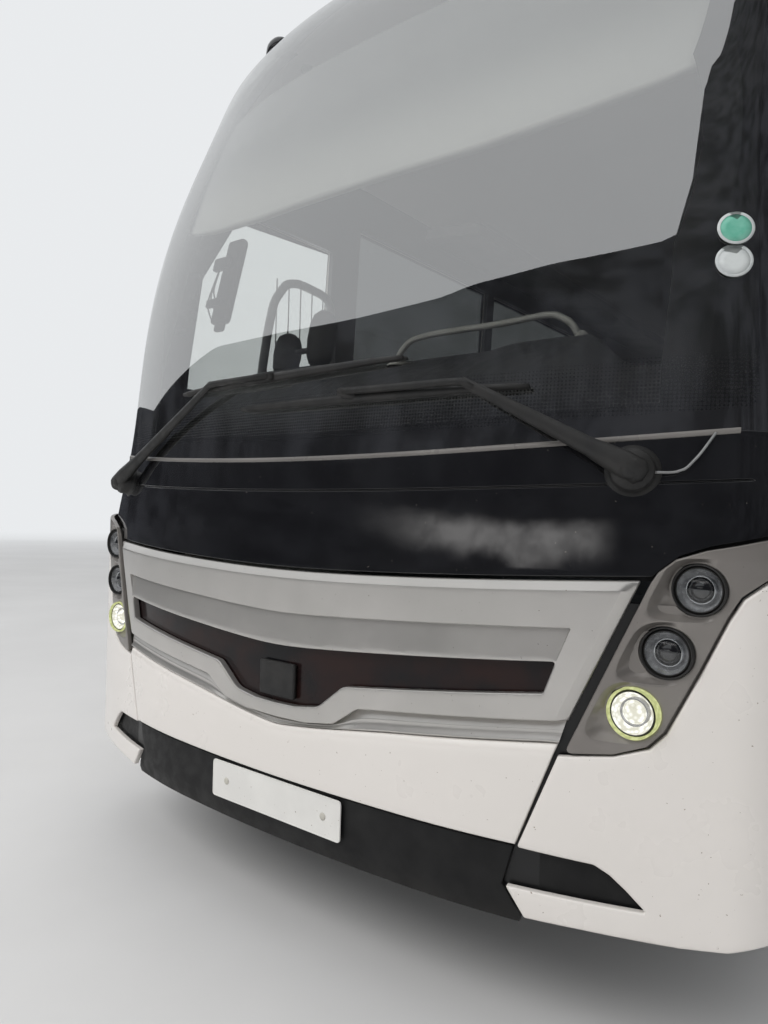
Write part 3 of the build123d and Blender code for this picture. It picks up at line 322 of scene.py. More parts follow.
def spline(xs, ys, bends, x):
    i = max(0, min(len(xs) - 2, sum(1 for v in xs if v <= x) - 1))
    width, right, left = xs[i + 1] - xs[i], xs[i + 1] - x, x - xs[i]
    curved = (bends[i] * right**3 + bends[i + 1] * left**3) / (6 * width)
    return curved + (ys[i] / width - bends[i] * width / 6) * right + (ys[i + 1] / width - bends[i + 1] * width / 6) * left


def lean_at(z):
    return spline(LEAN_HEIGHTS, LEANS, LEAN_BENDING, max(z, UPPER_FOOT))


def plan_at(z, upper):
    """Lean, half width, corner radius and the two turns of the plan at a height."""
    half = BODY_HALF - (SIDE_TILT * max(z - UPPER_FOOT, 0) if upper else 0)
    corner = CORNER_RADIUS + (CORNER_GROWTH * max(z - CORNER_FOOT, 0) if upper else 0)
    first = asin(FRONT_HALF / FRONT_RADIUS)
    reach = half - corner - FRONT_HALF * (1 - SHOULDER_RADIUS / FRONT_RADIUS)
    return (lean_at(z) if upper else 0.0), half, corner, first, asin(reach / (SHOULDER_RADIUS - corner))


def nose_point(girth, z, upper=False, inset=0.0):
    """The point of the nose at a girth (left is plus) and height, and its level outward direction."""
    lean, half, corner, first, second = plan_at(z, upper)
    s, hand = abs(girth), (1 if girth >= 0 else -1)
    front_long, shoulder_long = FRONT_RADIUS * first, SHOULDER_RADIUS * (second - first)
    corner_long = corner * (pi / 2 - second)
    x1, d1 = FRONT_HALF, FRONT_RADIUS * (1 - cos(first))
    x2, d2 = x1 + SHOULDER_RADIUS * (sin(second) - sin(first)), d1 + SHOULDER_RADIUS * (cos(first) - cos(second))
    if s < front_long:
        turn = s / FRONT_RADIUS
        x, d = FRONT_RADIUS * sin(turn), FRONT_RADIUS * (1 - cos(turn))
    elif s < front_long + shoulder_long:
        turn = first + (s - front_long) / SHOULDER_RADIUS
        x, d = x1 + SHOULDER_RADIUS * (sin(turn) - sin(first)), d1 + SHOULDER_RADIUS * (cos(first) - cos(turn))
    elif s < front_long + shoulder_long + corner_long:
        turn = second + (s - front_long - shoulder_long) / corner
        x, d = x2 + corner * (sin(turn) - sin(second)), d2 + corner * (cos(second) - cos(turn))
    else:
        turn = pi / 2
        x, d = half, d2 + corner * cos(second) + s - front_long - shoulder_long - corner_long
    out = Vector((hand * sin(turn), -cos(turn), 0))
    return Vector((hand * x, NOSE_Y + lean + d, z)) - inset * out, out


def girth_of(x, z, upper=False):
    """The girth at which the nose has a given x, in front of the flat side."""
    lean, half, corner, first, second = plan_at(z, upper)
    a, hand = abs(x), (1 if x >= 0 else -1)
    x2 = FRONT_HALF + SHOULDER_RADIUS * (sin(second) - sin(first))
    if a <= FRONT_HALF:
        found = FRONT_RADIUS * asin(a / FRONT_RADIUS)
    elif a <= x2:
        found = FRONT_RADIUS * first + SHOULDER_RADIUS * (asin((a - FRONT_HALF) / SHOULDER_RADIUS + sin(first)) - first)
    else:
        turn = asin(min((a - x2) / corner + sin(second), 1))
        found = FRONT_RADIUS * first + SHOULDER_RADIUS * (second - first) + corner * (turn - second)
    return hand * found


def girth_back(distance, z, upper=False):
    """The girth at which the nose is a distance back from its foremost point."""
    low, high = 0.0, 4.0
    for _ in range(40):
        middle = (low + high) / 2
        if nose_point(middle, z, upper)[0].y - NOSE_Y < distance:
            low = middle
        else:
            high = middle
    return low


print("nose at its widest:", [round(v, 3) for v in nose_point(girth_back(0.6, 1.0), 1.0)[0]])

# %% [markdown]
# ## Panels cut from the nose
# A body panel is a pressed or moulded skin with rolled edges. Cutting it from a block
# with booleans leaves ragged triangles, so each panel is drawn instead as outlines on
# the unrolled nose. A constrained triangulation fills them with even triangles, the
# fill is wrapped onto the nose, the edges are rolled inwards and given a flange. A
# relief function may press steps, bevels and bowls into the panel on the way.

# %% Helpers for outlines on the unrolled nose
def resampled(loop, step, closed=True):
    """Points along an outline no further apart than step."""
    found = []
    ends = loop[1:] + loop[:1] if closed else loop[1:]
    for a, b in zip(loop, ends):
        count = max(1, int(hypot(b[0] - a[0], b[1] - a[1]) / step + 0.999))
        found += [(a[0] + (b[0] - a[0]) * i / count, a[1] + (b[1] - a[1]) * i / count) for i in range(count)]
    return found if closed else found + [loop[-1]]


def rounded(loop, radii):
    """An outline with its corners rounded; radii is one radius or one for each corner."""
    found = []
    for i, corner in enumerate(loop):
        radius = radii if isinstance(radii, (int, float)) else radii[i]
        p, a, b = Vector(corner), Vector(loop[i - 1]), Vector(loop[(i + 1) % len(loop)])
        before, after = (a - p).normalized(), (b - p).normalized()
        angle = before.angle(after, pi)
        if radius <= 0 or angle > radians(176):
            found.append(corner)
            continue
        reach = min(radius / sin(angle / 2) * cos(angle / 2), 0.45 * min((a - p).length, (b - p).length))
        start, end = p + before * reach, p + after * reach
        for step in range(7):
            t = step / 6
            found.append(tuple((1 - t) ** 2 * start + 2 * t * (1 - t) * p + t * t * end))
    return found


def inside(point, loop):
    x, y = point
    hit = False
    for (x0, y0), (x1, y1) in zip(loop, loop[1:] + loop[:1]):
        if (y0 > y) != (y1 > y) and x < x0 + (y - y0) / (y1 - y0) * (x1 - x0):
            hit = not hit
    return hit


def offset(loop, by):
    """An outline moved to its left by a distance, each corner along its bisector."""
    found = []
    for i, p in enumerate(loop):
        a, b = loop[i - 1], loop[(i + 1) % len(loop)]
        u = Vector((p[0] - a[0], p[1] - a[1]))
        v = Vector((b[0] - p[0], b[1] - p[1]))
        if u.length < 1e-7 or v.length < 1e-7:
            u = v = Vector((b[0] - a[0], b[1] - a[1]))
        u, v = u.normalized(), v.normalized()
        side = Vector((-u.y - v.y, u.x + v.x))
        if side.length < 1e-6:
            side = Vector((-u.y, u.x))
        side.normalize()
        stretch = 1 / max(0.5, side.dot(Vector((-u.y, u.x))))
        found.append((p[0] + side.x * by * stretch, p[1] + side.y * by * stretch))
    return found


def area(loop):
    return sum(a[0] * b[1] - b[0] * a[1] for a, b in zip(loop, loop[1:] + loop[:1])) / 2


def grid_faces(runs, rows, closed=False, flip=False):
    """Quads between runs of points, each run rows long; closed joins the last run to the first."""
    faces = []
    for i in range(runs if closed else runs - 1):
        a, b = i * rows, (i + 1) % runs * rows
        if flip:
            faces += [[a + j, a + j + 1, b + j + 1, b + j] for j in range(rows - 1)]
        else:
            faces += [[a + j, b + j, b + j + 1, a + j + 1] for j in range(rows - 1)]
    return faces


def mesh_object(name, points, faces, finish, body="body", smooth=True):
    """A mesh of the coach with its finish, riding on a body."""
    mesh = bpy.data.meshes.new(name)
    mesh.from_pydata([tuple(p) for p in points], [], faces)
    mesh.validate()
    if smooth:
        mesh.shade_smooth()
    made = bpy.data.objects.new(name, mesh)
    bpy.context.scene.collection.objects.link(made)
    mesh.materials.append(MATERIALS[finish])
    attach(made, body)
    return made


def fill(loops, creases, spacing):
    """Even triangles between an outline and its holes, with creases kept as edges."""
    points, edges = [], []
    for loop in loops:
        base = len(points)
        points += loop
        edges += [(base + i, base + (i + 1) % len(loop)) for i in range(len(loop))]
    for line in creases:
        base = len(points)
        points += line
        edges += [(base + i, base + i + 1) for i in range(len(line) - 1)]
    taken = {}
    for p in points:
        taken.setdefault((int(p[0] // spacing), int(p[1] // spacing)), []).append(p)
    xs, ys = [p[0] for p in loops[0]], [p[1] for p in loops[0]]
    rows = int((max(ys) - min(ys)) / (spacing * 0.866)) + 1
    columns = int((max(xs) - min(xs)) / spacing) + 1
    for row in range(1, rows):
        y = min(ys) + row * spacing * 0.866
        crossings = []
        for loop in loops:
            for (x0, y0), (x1, y1) in zip(loop, loop[1:] + loop[:1]):
                if (y0 > y) != (y1 > y):
                    crossings.append(x0 + (y - y0) / (y1 - y0) * (x1 - x0))
        crossings.sort()
        for column in range(columns + 1):
            x = min(xs) + (column + 0.5 * (row % 2)) * spacing
            if sum(1 for c in crossings if c < x) % 2 == 0:
                continue
            key = (int(x // spacing), int(y // spacing))
            near = (q for i in (-1, 0, 1) for j in (-1, 0, 1) for q in taken.get((key[0] + i, key[1] + j), ()))
            if all(hypot(q[0] - x, q[1] - y) > 0.55 * spacing for q in near):
                points.append((x, y))
    flat, _, faces, *_ = delaunay_2d_cdt([Vector(p) for p in points], edges, [], 0, 1e-6)
    kept = []
    for face in faces:
        middle = tuple(sum((flat[i] for i in face), Vector((0, 0))) / len(face))
        if inside(middle, loops[0]) and not any(inside(middle, hole) for hole in loops[1:]):
            kept.append(list(face))
    return [tuple(p) for p in flat], kept


ROLL_STEPS = ((0.0, 1.0), (0.293, 0.293), (1.0, 0.0))


def wrapped_panel(name, outline, finish, holes=(), creases=(), relief=None, upper=False, spacing=0.014,
                  roll=0.003, flange=0.016, by_girth=False, push=None):
    """A panel on the nose, from outlines in x (or girth) and height, with rolled edges and a flange.

    relief(x, z) sinks the skin into the nose, and push(point) moves it back along Y.
    """

    def unrolled(loop, closed=True):
        dense = resampled(loop, spacing, closed)
        return dense if by_girth else [(girth_of(x, z, upper), z) for x, z in dense]

    loops = []
    for index, loop in enumerate([outline, *holes]):
        flat = unrolled(loop)
        if (area(flat) < 0) != (index > 0):
            flat.reverse()
        loops.append(flat)
    rings = [[offset(loop, share * roll) for loop in loops] for share, _ in ROLL_STEPS]
    inner = rings[-1]
    points2, faces = fill(inner, [unrolled(line, False) for line in creases], spacing)
    depths = [0.0] * len(points2)
    index_of = {(round(p[0], 6), round(p[1], 6)): i for i, p in enumerate(points2)}
    points, walls = list(points2), []
    for which in range(len(loops)):
        before = [index_of.get((round(p[0], 6), round(p[1], 6))) for p in inner[which]]
        if any(i is None for i in before):
            lookup = sorted(index_of.items())
            before = [i if i is not None else min(lookup, key=lambda e: hypot(e[0][0] - p[0], e[0][1] - p[1]))[1]
                      for i, p in zip(before, inner[which])]
        for ring, (share, sink) in list(zip(rings, ROLL_STEPS))[-2::-1]:
            base = len(points)
            points += ring[which]
            depths += [sink * roll] * len(ring[which])
            walls += ring_faces(before, base)
            before = list(range(base, base + len(ring[which])))
        base = len(points)
        points += rings[0][which]
        depths += [flange] * len(rings[0][which])
        walls += ring_faces(before, base)
    placed = []
    for (girth, z), depth in zip(points, depths):
        at, out = nose_point(girth, z, upper)
        at = at - out * (depth + (relief(at.x, z) if relief else 0.0))
        placed.append(at + Vector((0, push(at), 0)) if push else at)
    panel = mesh_object(name, placed, faces + walls, finish)
    panel.modifiers.new("weighted", "WEIGHTED_NORMAL").mode = "FACE_AREA"
    return panel


def ring_faces(before, base):
    """Quads between a closed run of points and a new run that starts at base."""
    count = len(before)
    return [[before[(i + 1) % count], before[i], base + i, base + (i + 1) % count] for i in range(count)]


def mirrored(run):
    """A half outline on the left, run on through its mirror image on the right."""
    return run + [(-x, z) for x, z in reversed(run) if x > 0]


print("panel helpers ready")

# %% [markdown]
# ## The silver panel under the windscreen
# One moulding carries everything between the headlamps: a bevelled top edge, a sunken
# band, the dark slot with a dip for the radar, and a lip that hangs over the bumper. Its
# lines are soft V shapes, highest at the sides, so one small function draws them all.

# %% Lines of the silver panel
def soft_v(x, middle, end, half, softness=0.12):
    """The height of a line that rises from its middle to its ends as a softened V."""
    return middle + (end - middle) * (hypot(x, softness) - softness) / (hypot(half, softness) - softness)


def silver_top(x):
    return soft_v(x, 1.076, 1.112, 0.995, 0.5)


def recess_top(x):
    return soft_v(x, 0.956, 0.998, 0.853)


def slot_top(x):
    return soft_v(x, 0.862, 0.919, 0.823)


def line_of(height, x_from, x_to, steps=60):
    return [(x_from + (x_to - x_from) * i / steps,
        height(x_from + (x_to - x_from) * i / steps)) for i in range(steps + 1)]


SIDE_TOP, SIDE_FOOT = Vector((0.995, 1.112)), Vector((0.853, 0.788))
SIDE_OUT = Vector((SIDE_TOP.y - SIDE_FOOT.y, SIDE_FOOT.x - SIDE_TOP.x)).normalized()
TOP_BEVEL, SIDE_BEVEL, BEVEL_SINK, RECESS_SINK = 0.022, 0.026, 0.013, 0.011
LIP_RUN = [(0.853, 0.788), (0.392, 0.740), (0.302, 0.730), (0.222, 0.676), (0.12, 0.660), (0.0, 0.657)]
SLOT_RUN = [(0.823, 0.919), (0.797, 0.845), (0.252, 0.781), (0.165, 0.712), (0.08, 0.699), (0.0, 0.697)]


def silver_relief(x, z):
    a = abs(x)
    top = max(0.0, 1 - (silver_top(a) - z) / TOP_BEVEL)
    side = max(0.0, 1 - (SIDE_TOP - Vector((a, z))).dot(SIDE_OUT) / SIDE_BEVEL)
    sunk = 0.0
    foot, crest = slot_top(a), recess_top(a)
    if foot < z < crest and a < 0.823 + (z - 0.919) * 0.38:
        sunk = RECESS_SINK * (z - foot) / (crest - foot)
    return BEVEL_SINK * min(1.0, max(top, side)) + sunk


def side_line(inset, z_from, z_to):
    """The panel's slanting side moved inwards, as the inner edge of its bevel."""
    def x_at(z):
        return SIDE_FOOT.x + (z - SIDE_FOOT.y) * (SIDE_TOP.x - SIDE_FOOT.x) / (SIDE_TOP.y - SIDE_FOOT.y) - inset * 1.09
    return [(x_at(z_from), z_from), (x_at(z_to), z_to)]


# %% Press the silver panel
silver_half = line_of(silver_top, 0.0, 0.995, 40) + LIP_RUN
slot_half = line_of(slot_top, 0.0, 0.823, 40) + SLOT_RUN[1:]
lip_radii, dip_radii = [0.05, 0.05, 0.05, 0.1, 0.1], [0.05, 0.06, 0.08, 0.1]
silver_outline = rounded(mirrored(silver_half), [0.004] * 42 + lip_radii + lip_radii[-2::-1] + [0.004] * 61)
slot_outline = rounded(mirrored(slot_half), [0.006] * 42 + dip_radii + dip_radii[-2::-1] + [0.006] * 60)
creases = [line_of(lambda x, up=up: silver_top(x) - TOP_BEVEL + up, -0.958, 0.958) for up in (-0.001, 0.001)]
creases += [line_of(lambda x, up=up: recess_top(x) + up, -0.852 - up / 3, 0.852 + up / 3)
            for up in (-0.0017, -0.0008, 0.0008, 0.0017)]
for hand in (1, -1):
    creases += [[(hand * x, z) for x, z in side_line(SIDE_BEVEL + by, 0.806, 1.086)] for by in (-0.001, 0.001)]
    creases += [[(hand * (0.8524 + out), 0.996), (hand * (0.8244 + out), 0.9225)]
                for out in (-0.0019, -0.0009, 0.0009, 0.0019)]
silver = wrapped_panel("silver_panel", silver_outline, "silver_paint", [slot_outline], creases, silver_relief,
                       spacing=0.012, roll=0.004, flange=0.02)
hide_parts("grille_panel")
print("silver panel:", len(silver.data.polygons), "faces")

# %% [markdown]
# ## The channel under the lip
# Between the lip and the bumper the moulding turns back into a shallow channel: a flat
# in shade, a fine bright ridge and a hollow that comes out to meet the bumper. It has
# the same outline all along, so it is a grid swept along the nose.

# %% Sweep the channel and the other long strips
def swept(name, finish, columns, profile, place, upper=False):
    """A strip of quads: place(u, v) gives x, height and depth for each column and profile step."""
    points = []
    for i in range(columns + 1):
        for v in profile:
            x, z, depth = place(-1 + 2 * i / columns, v)
            at, out = nose_point(girth_of(x, z, upper), z, upper)
            points.append(at - out * depth)
    return mesh_object(name, points, grid_faces(columns + 1, len(profile)), finish)


def interpolated(knots, x):
    """A height from a short table of x and height, straight between its entries."""
    for (x0, z0), (x1, z1) in zip(knots, knots[1:]):
        if x <= x1:
            return z0 + (z1 - z0) * (x - x0) / (x1 - x0)
    return knots[-1][1]


def eased(knots, x, spread=0.03):
    """The same, averaged over a little width so that its corners are soft."""
    return sum(interpolated(knots, abs(x + spread * k / 3)) for k in range(-3, 4)) / 7


LIP_LINE = tuple(sorted((x, z) for x, z in LIP_RUN))
BUMPER_LINE = ((0.0, 0.634), (0.133, 0.648), (0.393, 0.684), (0.832, 0.735))
CHANNEL = (
    # share of the way down, depth behind the nose
    (-0.12, 0.024), (0.0, 0.018), (0.40, 0.0145), (0.43, 0.0125), (0.47, 0.0128),
    (0.60, 0.0125), (0.75, 0.0105), (0.88, 0.0060), (0.95, 0.0050), (1.0, 0.0075), (1.02, 0.02),
)


def channel_place(u, v):
    share, depth = v
    x = u * 0.848
    top, foot = eased(LIP_LINE, x), eased(BUMPER_LINE, x) + 0.002
    return x - u * 0.014 * max(share, 0), top + (foot - top) * share, depth


channel = swept("grille_channel", "silver_paint", 150, CHANNEL, channel_place)
print("channel:", len(channel.data.polygons), "faces")

# %% [markdown]
# ## Slot insert and radar cover
# The slot is closed by a gloss black strip set back behind the silver. A matte cover for
# the distance radar stands in the dip, with soft corners. Both are plain shapes whose
# edges catch light, so the cover is a bevelled block and the strip a wrapped panel.

# %% A helper for bevelled blocks, and the slot's insert
def blocks(name, finish, boxes, body="body", bevel=0.003):
    """Boxes with rounded edges as one piece: each is two corners and a lean about X in degrees."""
    work = bmesh.new()
    for low, high, lean in boxes:
        size, middle = Vector(high) - Vector(low), (Vector(high) + Vector(low)) / 2
        place = Matrix.Translation(middle) @ Matrix.Rotation(radians(lean), 4, "X") @ Matrix.Diagonal((*size, 1))
        corners = bmesh.ops.create_cube(work, size=1, matrix=place)["verts"]
        edges = list({edge for corner in corners for edge in corner.link_edges})
        bmesh.ops.bevel(work, geom=edges, offset=min(bevel, 0.45 * min(size)), segments=2, affect="EDGES",
            profile=0.5)
    mesh = bpy.data.meshes.new(name)
    work.to_mesh(mesh)
    work.free()
    mesh.shade_smooth()
    made = bpy.data.objects.new(name, mesh)
    bpy.context.scene.collection.objects.link(made)
    mesh.materials.append(MATERIALS[finish])
    made.modifiers.new("weighted", "WEIGHTED_NORMAL").keep_sharp = True
    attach(made, body)
    return made


insert_half = [(x, z + 0.008) for x, z in line_of(slot_top, 0.0, 0.828, 30)]
insert_half += [(0.803, 0.838), (0.258, 0.773), (0.170, 0.703), (0.0, 0.690)]
insert = wrapped_panel("slot_insert", mirrored(insert_half), "slot_black", spacing=0.02, roll=0.001, flange=0.006,
                       relief=lambda x, z: 0.0245)
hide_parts("grille_insert")
cover_front = NOSE_Y + 0.007
cover_box = ((-0.070, cover_front, 0.712), (0.070, cover_front + 0.016, 0.812), 0)
cover = blocks("radar_cover", "satin_black", [cover_box], bevel=0.006)
print("insert and cover:", len(insert.data.polygons) + len(cover.data.polygons), "faces")

# %% [markdown]
# ## Bumper, valance and corners
# These are painted mouldings with soft edges and narrow, dark seams. The bumper has a
# bevel along its top that reads as a bright line, and the corners wrap round to the
# first door. At the foot of each corner a fin stands proud of a black recess.

# %% Mould the bumper and valance
def bumper_relief(x, z):
    """A bevel along the top edge, so that it catches the light."""
    near = max(0.0, 1 - (eased(BUMPER_LINE, x) - z) / 0.016)
    return 0.009 * near * near


bumper_half = [(x, eased(BUMPER_LINE, x)) for x in [0.832 * i / 30 for i in range(31)]]
bumper_half += [(0.743, 0.490), (0.0, 0.488)]
bumper_crease = [(x, z - 0.016) for x, z in bumper_half[:31] if x < 0.81]
bumper = wrapped_panel("bumper_skin", mirrored(bumper_half), "white_paint",
                       creases=[[(-x, z) for x, z in reversed(bumper_crease)] + bumper_crease[1:]],
                       relief=bumper_relief, spacing=0.02, roll=0.004, flange=0.018)
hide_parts("front_bumper")
valance_half = [(0.0, 0.484), (0.738, 0.484), (0.713, 0.390), (0.758, 0.324), (0.752, 0.304), (0.0, 0.304)]
valance = wrapped_panel("valance_skin", mirrored(valance_half), "valance_black", spacing=0.03, roll=0.004,
    flange=0.016,
                        relief=lambda x, z: 0.010 + 0.012 * max(0.0, 1 - (z - 0.304) / 0.05))
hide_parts("valance")
print("bumper and valance:", len(bumper.data.polygons), len(valance.data.polygons), "faces")

# %% Cut the corners with their fins
LAMP_EDGE = [(1.262, 1.145), (1.222, 1.123), (1.181, 1.088), (1.156, 1.042), (1.108, 0.928), (1.045, 0.790),
             (1.013, 0.754), (0.948, 0.729), (0.843, 0.714)]
CORNER_BACK = 0.614
HANDS = (("left", 1), ("right", -1))


def to_girth(points, upper=False):
    return [(girth_of(x, z, upper), z) for x, z in resampled(points, 0.014, False)]


def both_hands(make):
    """The same piece made on the left and, turned over, on the right."""
    return [make(side, hand) for side, hand in HANDS]


def corner_outline():
    seam = [(0.833, 0.708), (0.747, 0.484), (0.914, 0.480), (0.946, 0.464), (0.980, 0.436), (1.021, 0.396),
            (0.722, 0.391), (0.768, 0.327), (0.891, 0.331), (1.083, 0.334), (1.171, 0.340), (1.215, 0.352),
            (1.255, 0.362)]
    foot = to_girth(rounded(seam, [0] + [0.006] + [0.02] * 3 + [0.004, 0.004, 0.006] + [0] * 5))
    rear = [(girth_back(CORNER_BACK, 0.5), z) for z in (0.366, 1.174)]
    above = [(x + (0.006 if x > 1.01 else 0.0), z - 0.005) for x, z in LAMP_EDGE]
    return foot + rear + [(girth_of(1.268, 1.174), 1.174)] + to_girth(above)


def corner_skin(side, hand):
    outline = [(hand * s, z) for s, z in corner_outline()]
    skin = wrapped_panel(f"corner_skin_{side}", outline, "white_paint", spacing=0.02, roll=0.005, by_girth=True)
    return skin


corners = both_hands(corner_skin)
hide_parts("front_corners")
for side, hand in HANDS:
    pocket = [(0.742, 0.490), (0.925, 0.486), (0.958, 0.468), (0.995, 0.438), (1.036, 0.392), (0.726, 0.383)]
    wrapped_panel(f"fin_recess_{side}", [(hand * x, z) for x, z in pocket], "valance_black", spacing=0.02, roll=0.002,
                  relief=lambda x, z: 0.0245, flange=0.004)
print("corner skins:", [len(c.data.polygons) for c in corners])

# %% [markdown]
# ## Headlamps in their pocketed surround
# Each side has three round lamps in a dark moulding shaped like a wing. Every lamp sits in
# a leaning pocket with soft corners, so that it faces straight ahead while the moulding
# sweeps back round the corner. The pocket blends the skin from the nose to the lamp's own
# flat rim. Every lamp is turned on the lathe: a rim, a reflector, a projector and a lens.

# %% Mould the lamp surrounds
LAMPS = (
    # x, height, distance back of the rim
    (1.100, 1.098, 0.178),
    (1.043, 0.959, 0.152),
    (0.983, 0.824, 0.122),
)
LAMP_HOLE, LEAN = 0.0575, 0.43


def smooth_step(low, high, value):
    t = max(0.0, min(1.0, (value - low) / (high - low)))
    return t * t * (3 - 2 * t)


def pocket(x, z):
    """How far out a place, measured from the lamp's axis, lies in its leaning pocket: 1 is the lip."""
    return ((abs(x - LEAN * z) / 0.079) ** 4 + (abs(z) / 0.0685) ** 4) ** 0.25


def scoop(point):
    """How far back the skin moves at a point so that it meets the nearest lamp's rim."""
    moved = 0.0
    for lamp_x, lamp_z, distance in LAMPS:
        x, z = abs(point.x) - lamp_x, point.z - lamp_z
        out, reach = hypot(x, z), pocket(x, z)
        lip = out / reach if reach > 1e-6 else 1.0
        rim = LAMP_HOLE + 0.003
        share = min(1.0, max(0.0, 1 - (out - rim) / max(lip - rim, 0.004)))
        share = sin(pi / 2 * share) ** 0.8
        moved = max(moved, share * (NOSE_Y + distance + 0.004 - point.y))
    return moved


def lip_line(x, z, size, hand):
    line = []
    for i in range(56):
        turn = 2 * pi * i / 56
        reach = size / pocket(cos(turn), sin(turn))
        line.append((hand * (x + reach * cos(turn)), z + reach * sin(turn)))
    return line


def circle(x, z, radius):
    return [(x + radius * cos(pi * i / 20), z + radius * sin(pi * i / 20)) for i in range(40)]


def lamp_surround(side, hand):
    top = [(0.846, 0.716), (1.013, 1.108), (1.027, 1.132), (1.061, 1.162), (1.118, 1.183), (1.180, 1.197),
           (1.219, 1.207), (1.262, 1.216)]
    outline = [(hand * x, z) for x, z in rounded(top + LAMP_EDGE[:-1], 0.012)]
    holes = [circle(hand * x, z, LAMP_HOLE) for x, z, _ in LAMPS]
    creases = [circle(hand * x, z, LAMP_HOLE + 0.006) for x, z, _ in LAMPS]
    creases += [lip_line(x, z, size, hand) for x, z, _ in LAMPS for size in (0.992, 1.006)]
    skin = wrapped_panel(f"lamp_surround_{side}", outline, "lamp_grey", holes, creases, spacing=0.009, roll=0.003,
                         push=scoop, flange=0.014)
    return skin


surrounds = both_hands(lamp_surround)
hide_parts("lamp_panels")
print("lamp surrounds:", [len(s.data.polygons) for s in surrounds])

# %% Clear, chromed and glowing finishes for lamps
def clear(name, tint, mirror):
    """Thin glass: what is behind shows through the tint, and the sheen grows at grazing angles."""
    finish = Finish(name)
    through = finish.plain("ShaderNodeBsdfTransparent", "Color", tint)
    return finish.done(finish.sheen(through, 5.0, mirror))


def glowing(name, colour, edge, strength):
    """A lit lamp: bright in the middle of each facet and tinted between them."""
    finish = Finish(name)
    tone = finish.mix(finish.span(finish.cells(90), 0.15, 0.75), colour, edge)
    return finish.done(finish.emission(tone, strength))


clear("lens_clear", (0.93, 0.94, 0.94), 0.06)
glowing("lamp_lit", (1.0, 0.99, 0.93), (0.62, 0.60, 0.50), 1.35)
glowing("lamp_ring_lit", (0.80, 0.84, 0.42), (0.58, 0.62, 0.28), 0.85)
surface("chrome", (0.62, 0.63, 0.64), (0.50, 0.51, 0.52), 12, (0.08, 0.16), (1200, 0.03), Metallic=1.0)
surface("lamp_bowl", (0.30, 0.30, 0.31), (0.46, 0.46, 0.47), 60, (0.16, 0.28), (300, 0.15), Metallic=0.45)
print("lamp finishes ready")


# %% Turn the lamps
def turned_shape(profile, centre, steps, facing):
    """Points and faces of a profile (radius and distance along the axis) turned about an axis."""
    across = facing.orthogonal().normalized()
    beside = facing.cross(across)
    points = []
    for i in range(steps):
        turn = 2 * pi * i / steps
        spoke = cos(turn) * across + sin(turn) * beside
        points += [Vector(centre) + spoke * radius + facing * along for radius, along in profile]
    return points, grid_faces(steps, len(profile), closed=True, flip=True)


def turned(name, profile, centre, finish, steps=48, body="body", facing=Vector((0, 1, 0))):
    """A turned shape as a piece of its own."""
    made = mesh_object(name, *turned_shape(profile, centre, steps, facing), finish, body)
    weld = made.modifiers.new("weld", "WELD")
    weld.merge_threshold = 0.00005
    return made


RIM = [(0.0565, 0.03), (0.0565, -0.001), (0.0552, -0.004), (0.0530, -0.003), (0.0518, 0.004), (0.0515, 0.012)]
GAP_RING = [(0.0516, 0.010), (0.0500, 0.0045), (0.0475, 0.0015), (0.0465, 0.003), (0.0465, 0.030)]
BOWL = [(0.0465, 0.004), (0.044, 0.016), (0.038, 0.028), (0.030, 0.034), (0.0, 0.036)]
LENS = [(0.0, -0.009), (0.012, -0.0085), (0.024, -0.007), (0.036, -0.003), (0.044, 0.001), (0.0468, 0.003)]
PROJECTOR = [(0.0, 0.002), (0.010, 0.0035), (0.019, 0.008), (0.0255, 0.016), (0.0275, 0.024)]
COLLAR = [(0.0275, 0.036), (0.0275, 0.016), (0.0295, 0.014), (0.0315, 0.016), (0.0315, 0.036)]

for side, hand in HANDS:
    for number, (x, z, distance) in enumerate(LAMPS, 1):
        centre = (hand * x, NOSE_Y + distance, z)
        lit = number == 3
        tag = f"{side}_{number}"
        turned(f"lamp_rim_{tag}", RIM, centre, "lamp_ring_lit" if lit else "satin_black")
        turned(f"lamp_gap_{tag}", GAP_RING, centre, "satin_black")
        turned(f"lamp_bowl_{tag}", BOWL, centre, "lamp_lit" if lit else "lamp_bowl")
        turned(f"lamp_lens_{tag}", LENS, centre, "lens_clear")
        turned(f"lamp_collar_{tag}", COLLAR, centre, "lamp_bowl" if lit else "chrome")
        turned(f"lamp_eye_{tag}", PROJECTOR, centre, "lamp_lit" if lit else "gloss_black")
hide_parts("headlamps")

# %% [markdown]
# ## The gloss black scuttle
# Between the windscreen and the silver panel runs a band of gloss black, crossed by a
# gap where the service flap opens. Gloss shows every facet, so it is wrapped like the
# other panels but on the upper nose, which leans back further.

# %% Press the scuttle
def screen_foot(x):
    return 1.400 + 0.0376 * x * x


def flap_gap(x):
    return 1.304 + 0.024 * x * x


def scuttle_relief(x, z):
    """The gap above the flap."""
    return 0.006 * (1 - smooth_step(0.0012, 0.0030, abs(z - flap_gap(x))))


POST_BACK = 0.25
scuttle_top = [(x, screen_foot(x) - 0.004) for x in [1.16 * i / 30 for i in range(31)]]
rear_girth = girth_back(0.312, 1.3, True)
lamp_gap_top = [(1.118, 1.192), (1.060, 1.169), (1.027, 1.139), (1.010, 1.122), (0.995, 1.121)]


def scuttle_outline():
    half = to_girth(scuttle_top, True)
    half += [(rear_girth, 1.444), (rear_girth, 1.228), (girth_of(1.20, 1.212, True), 1.212)]
    over_silver = [0.98 * (20 - i) / 20 for i in range(21)]
    half += to_girth(lamp_gap_top, True) + to_girth([(x, silver_top(x) + 0.009) for x in over_silver], True)
    return mirrored(half)


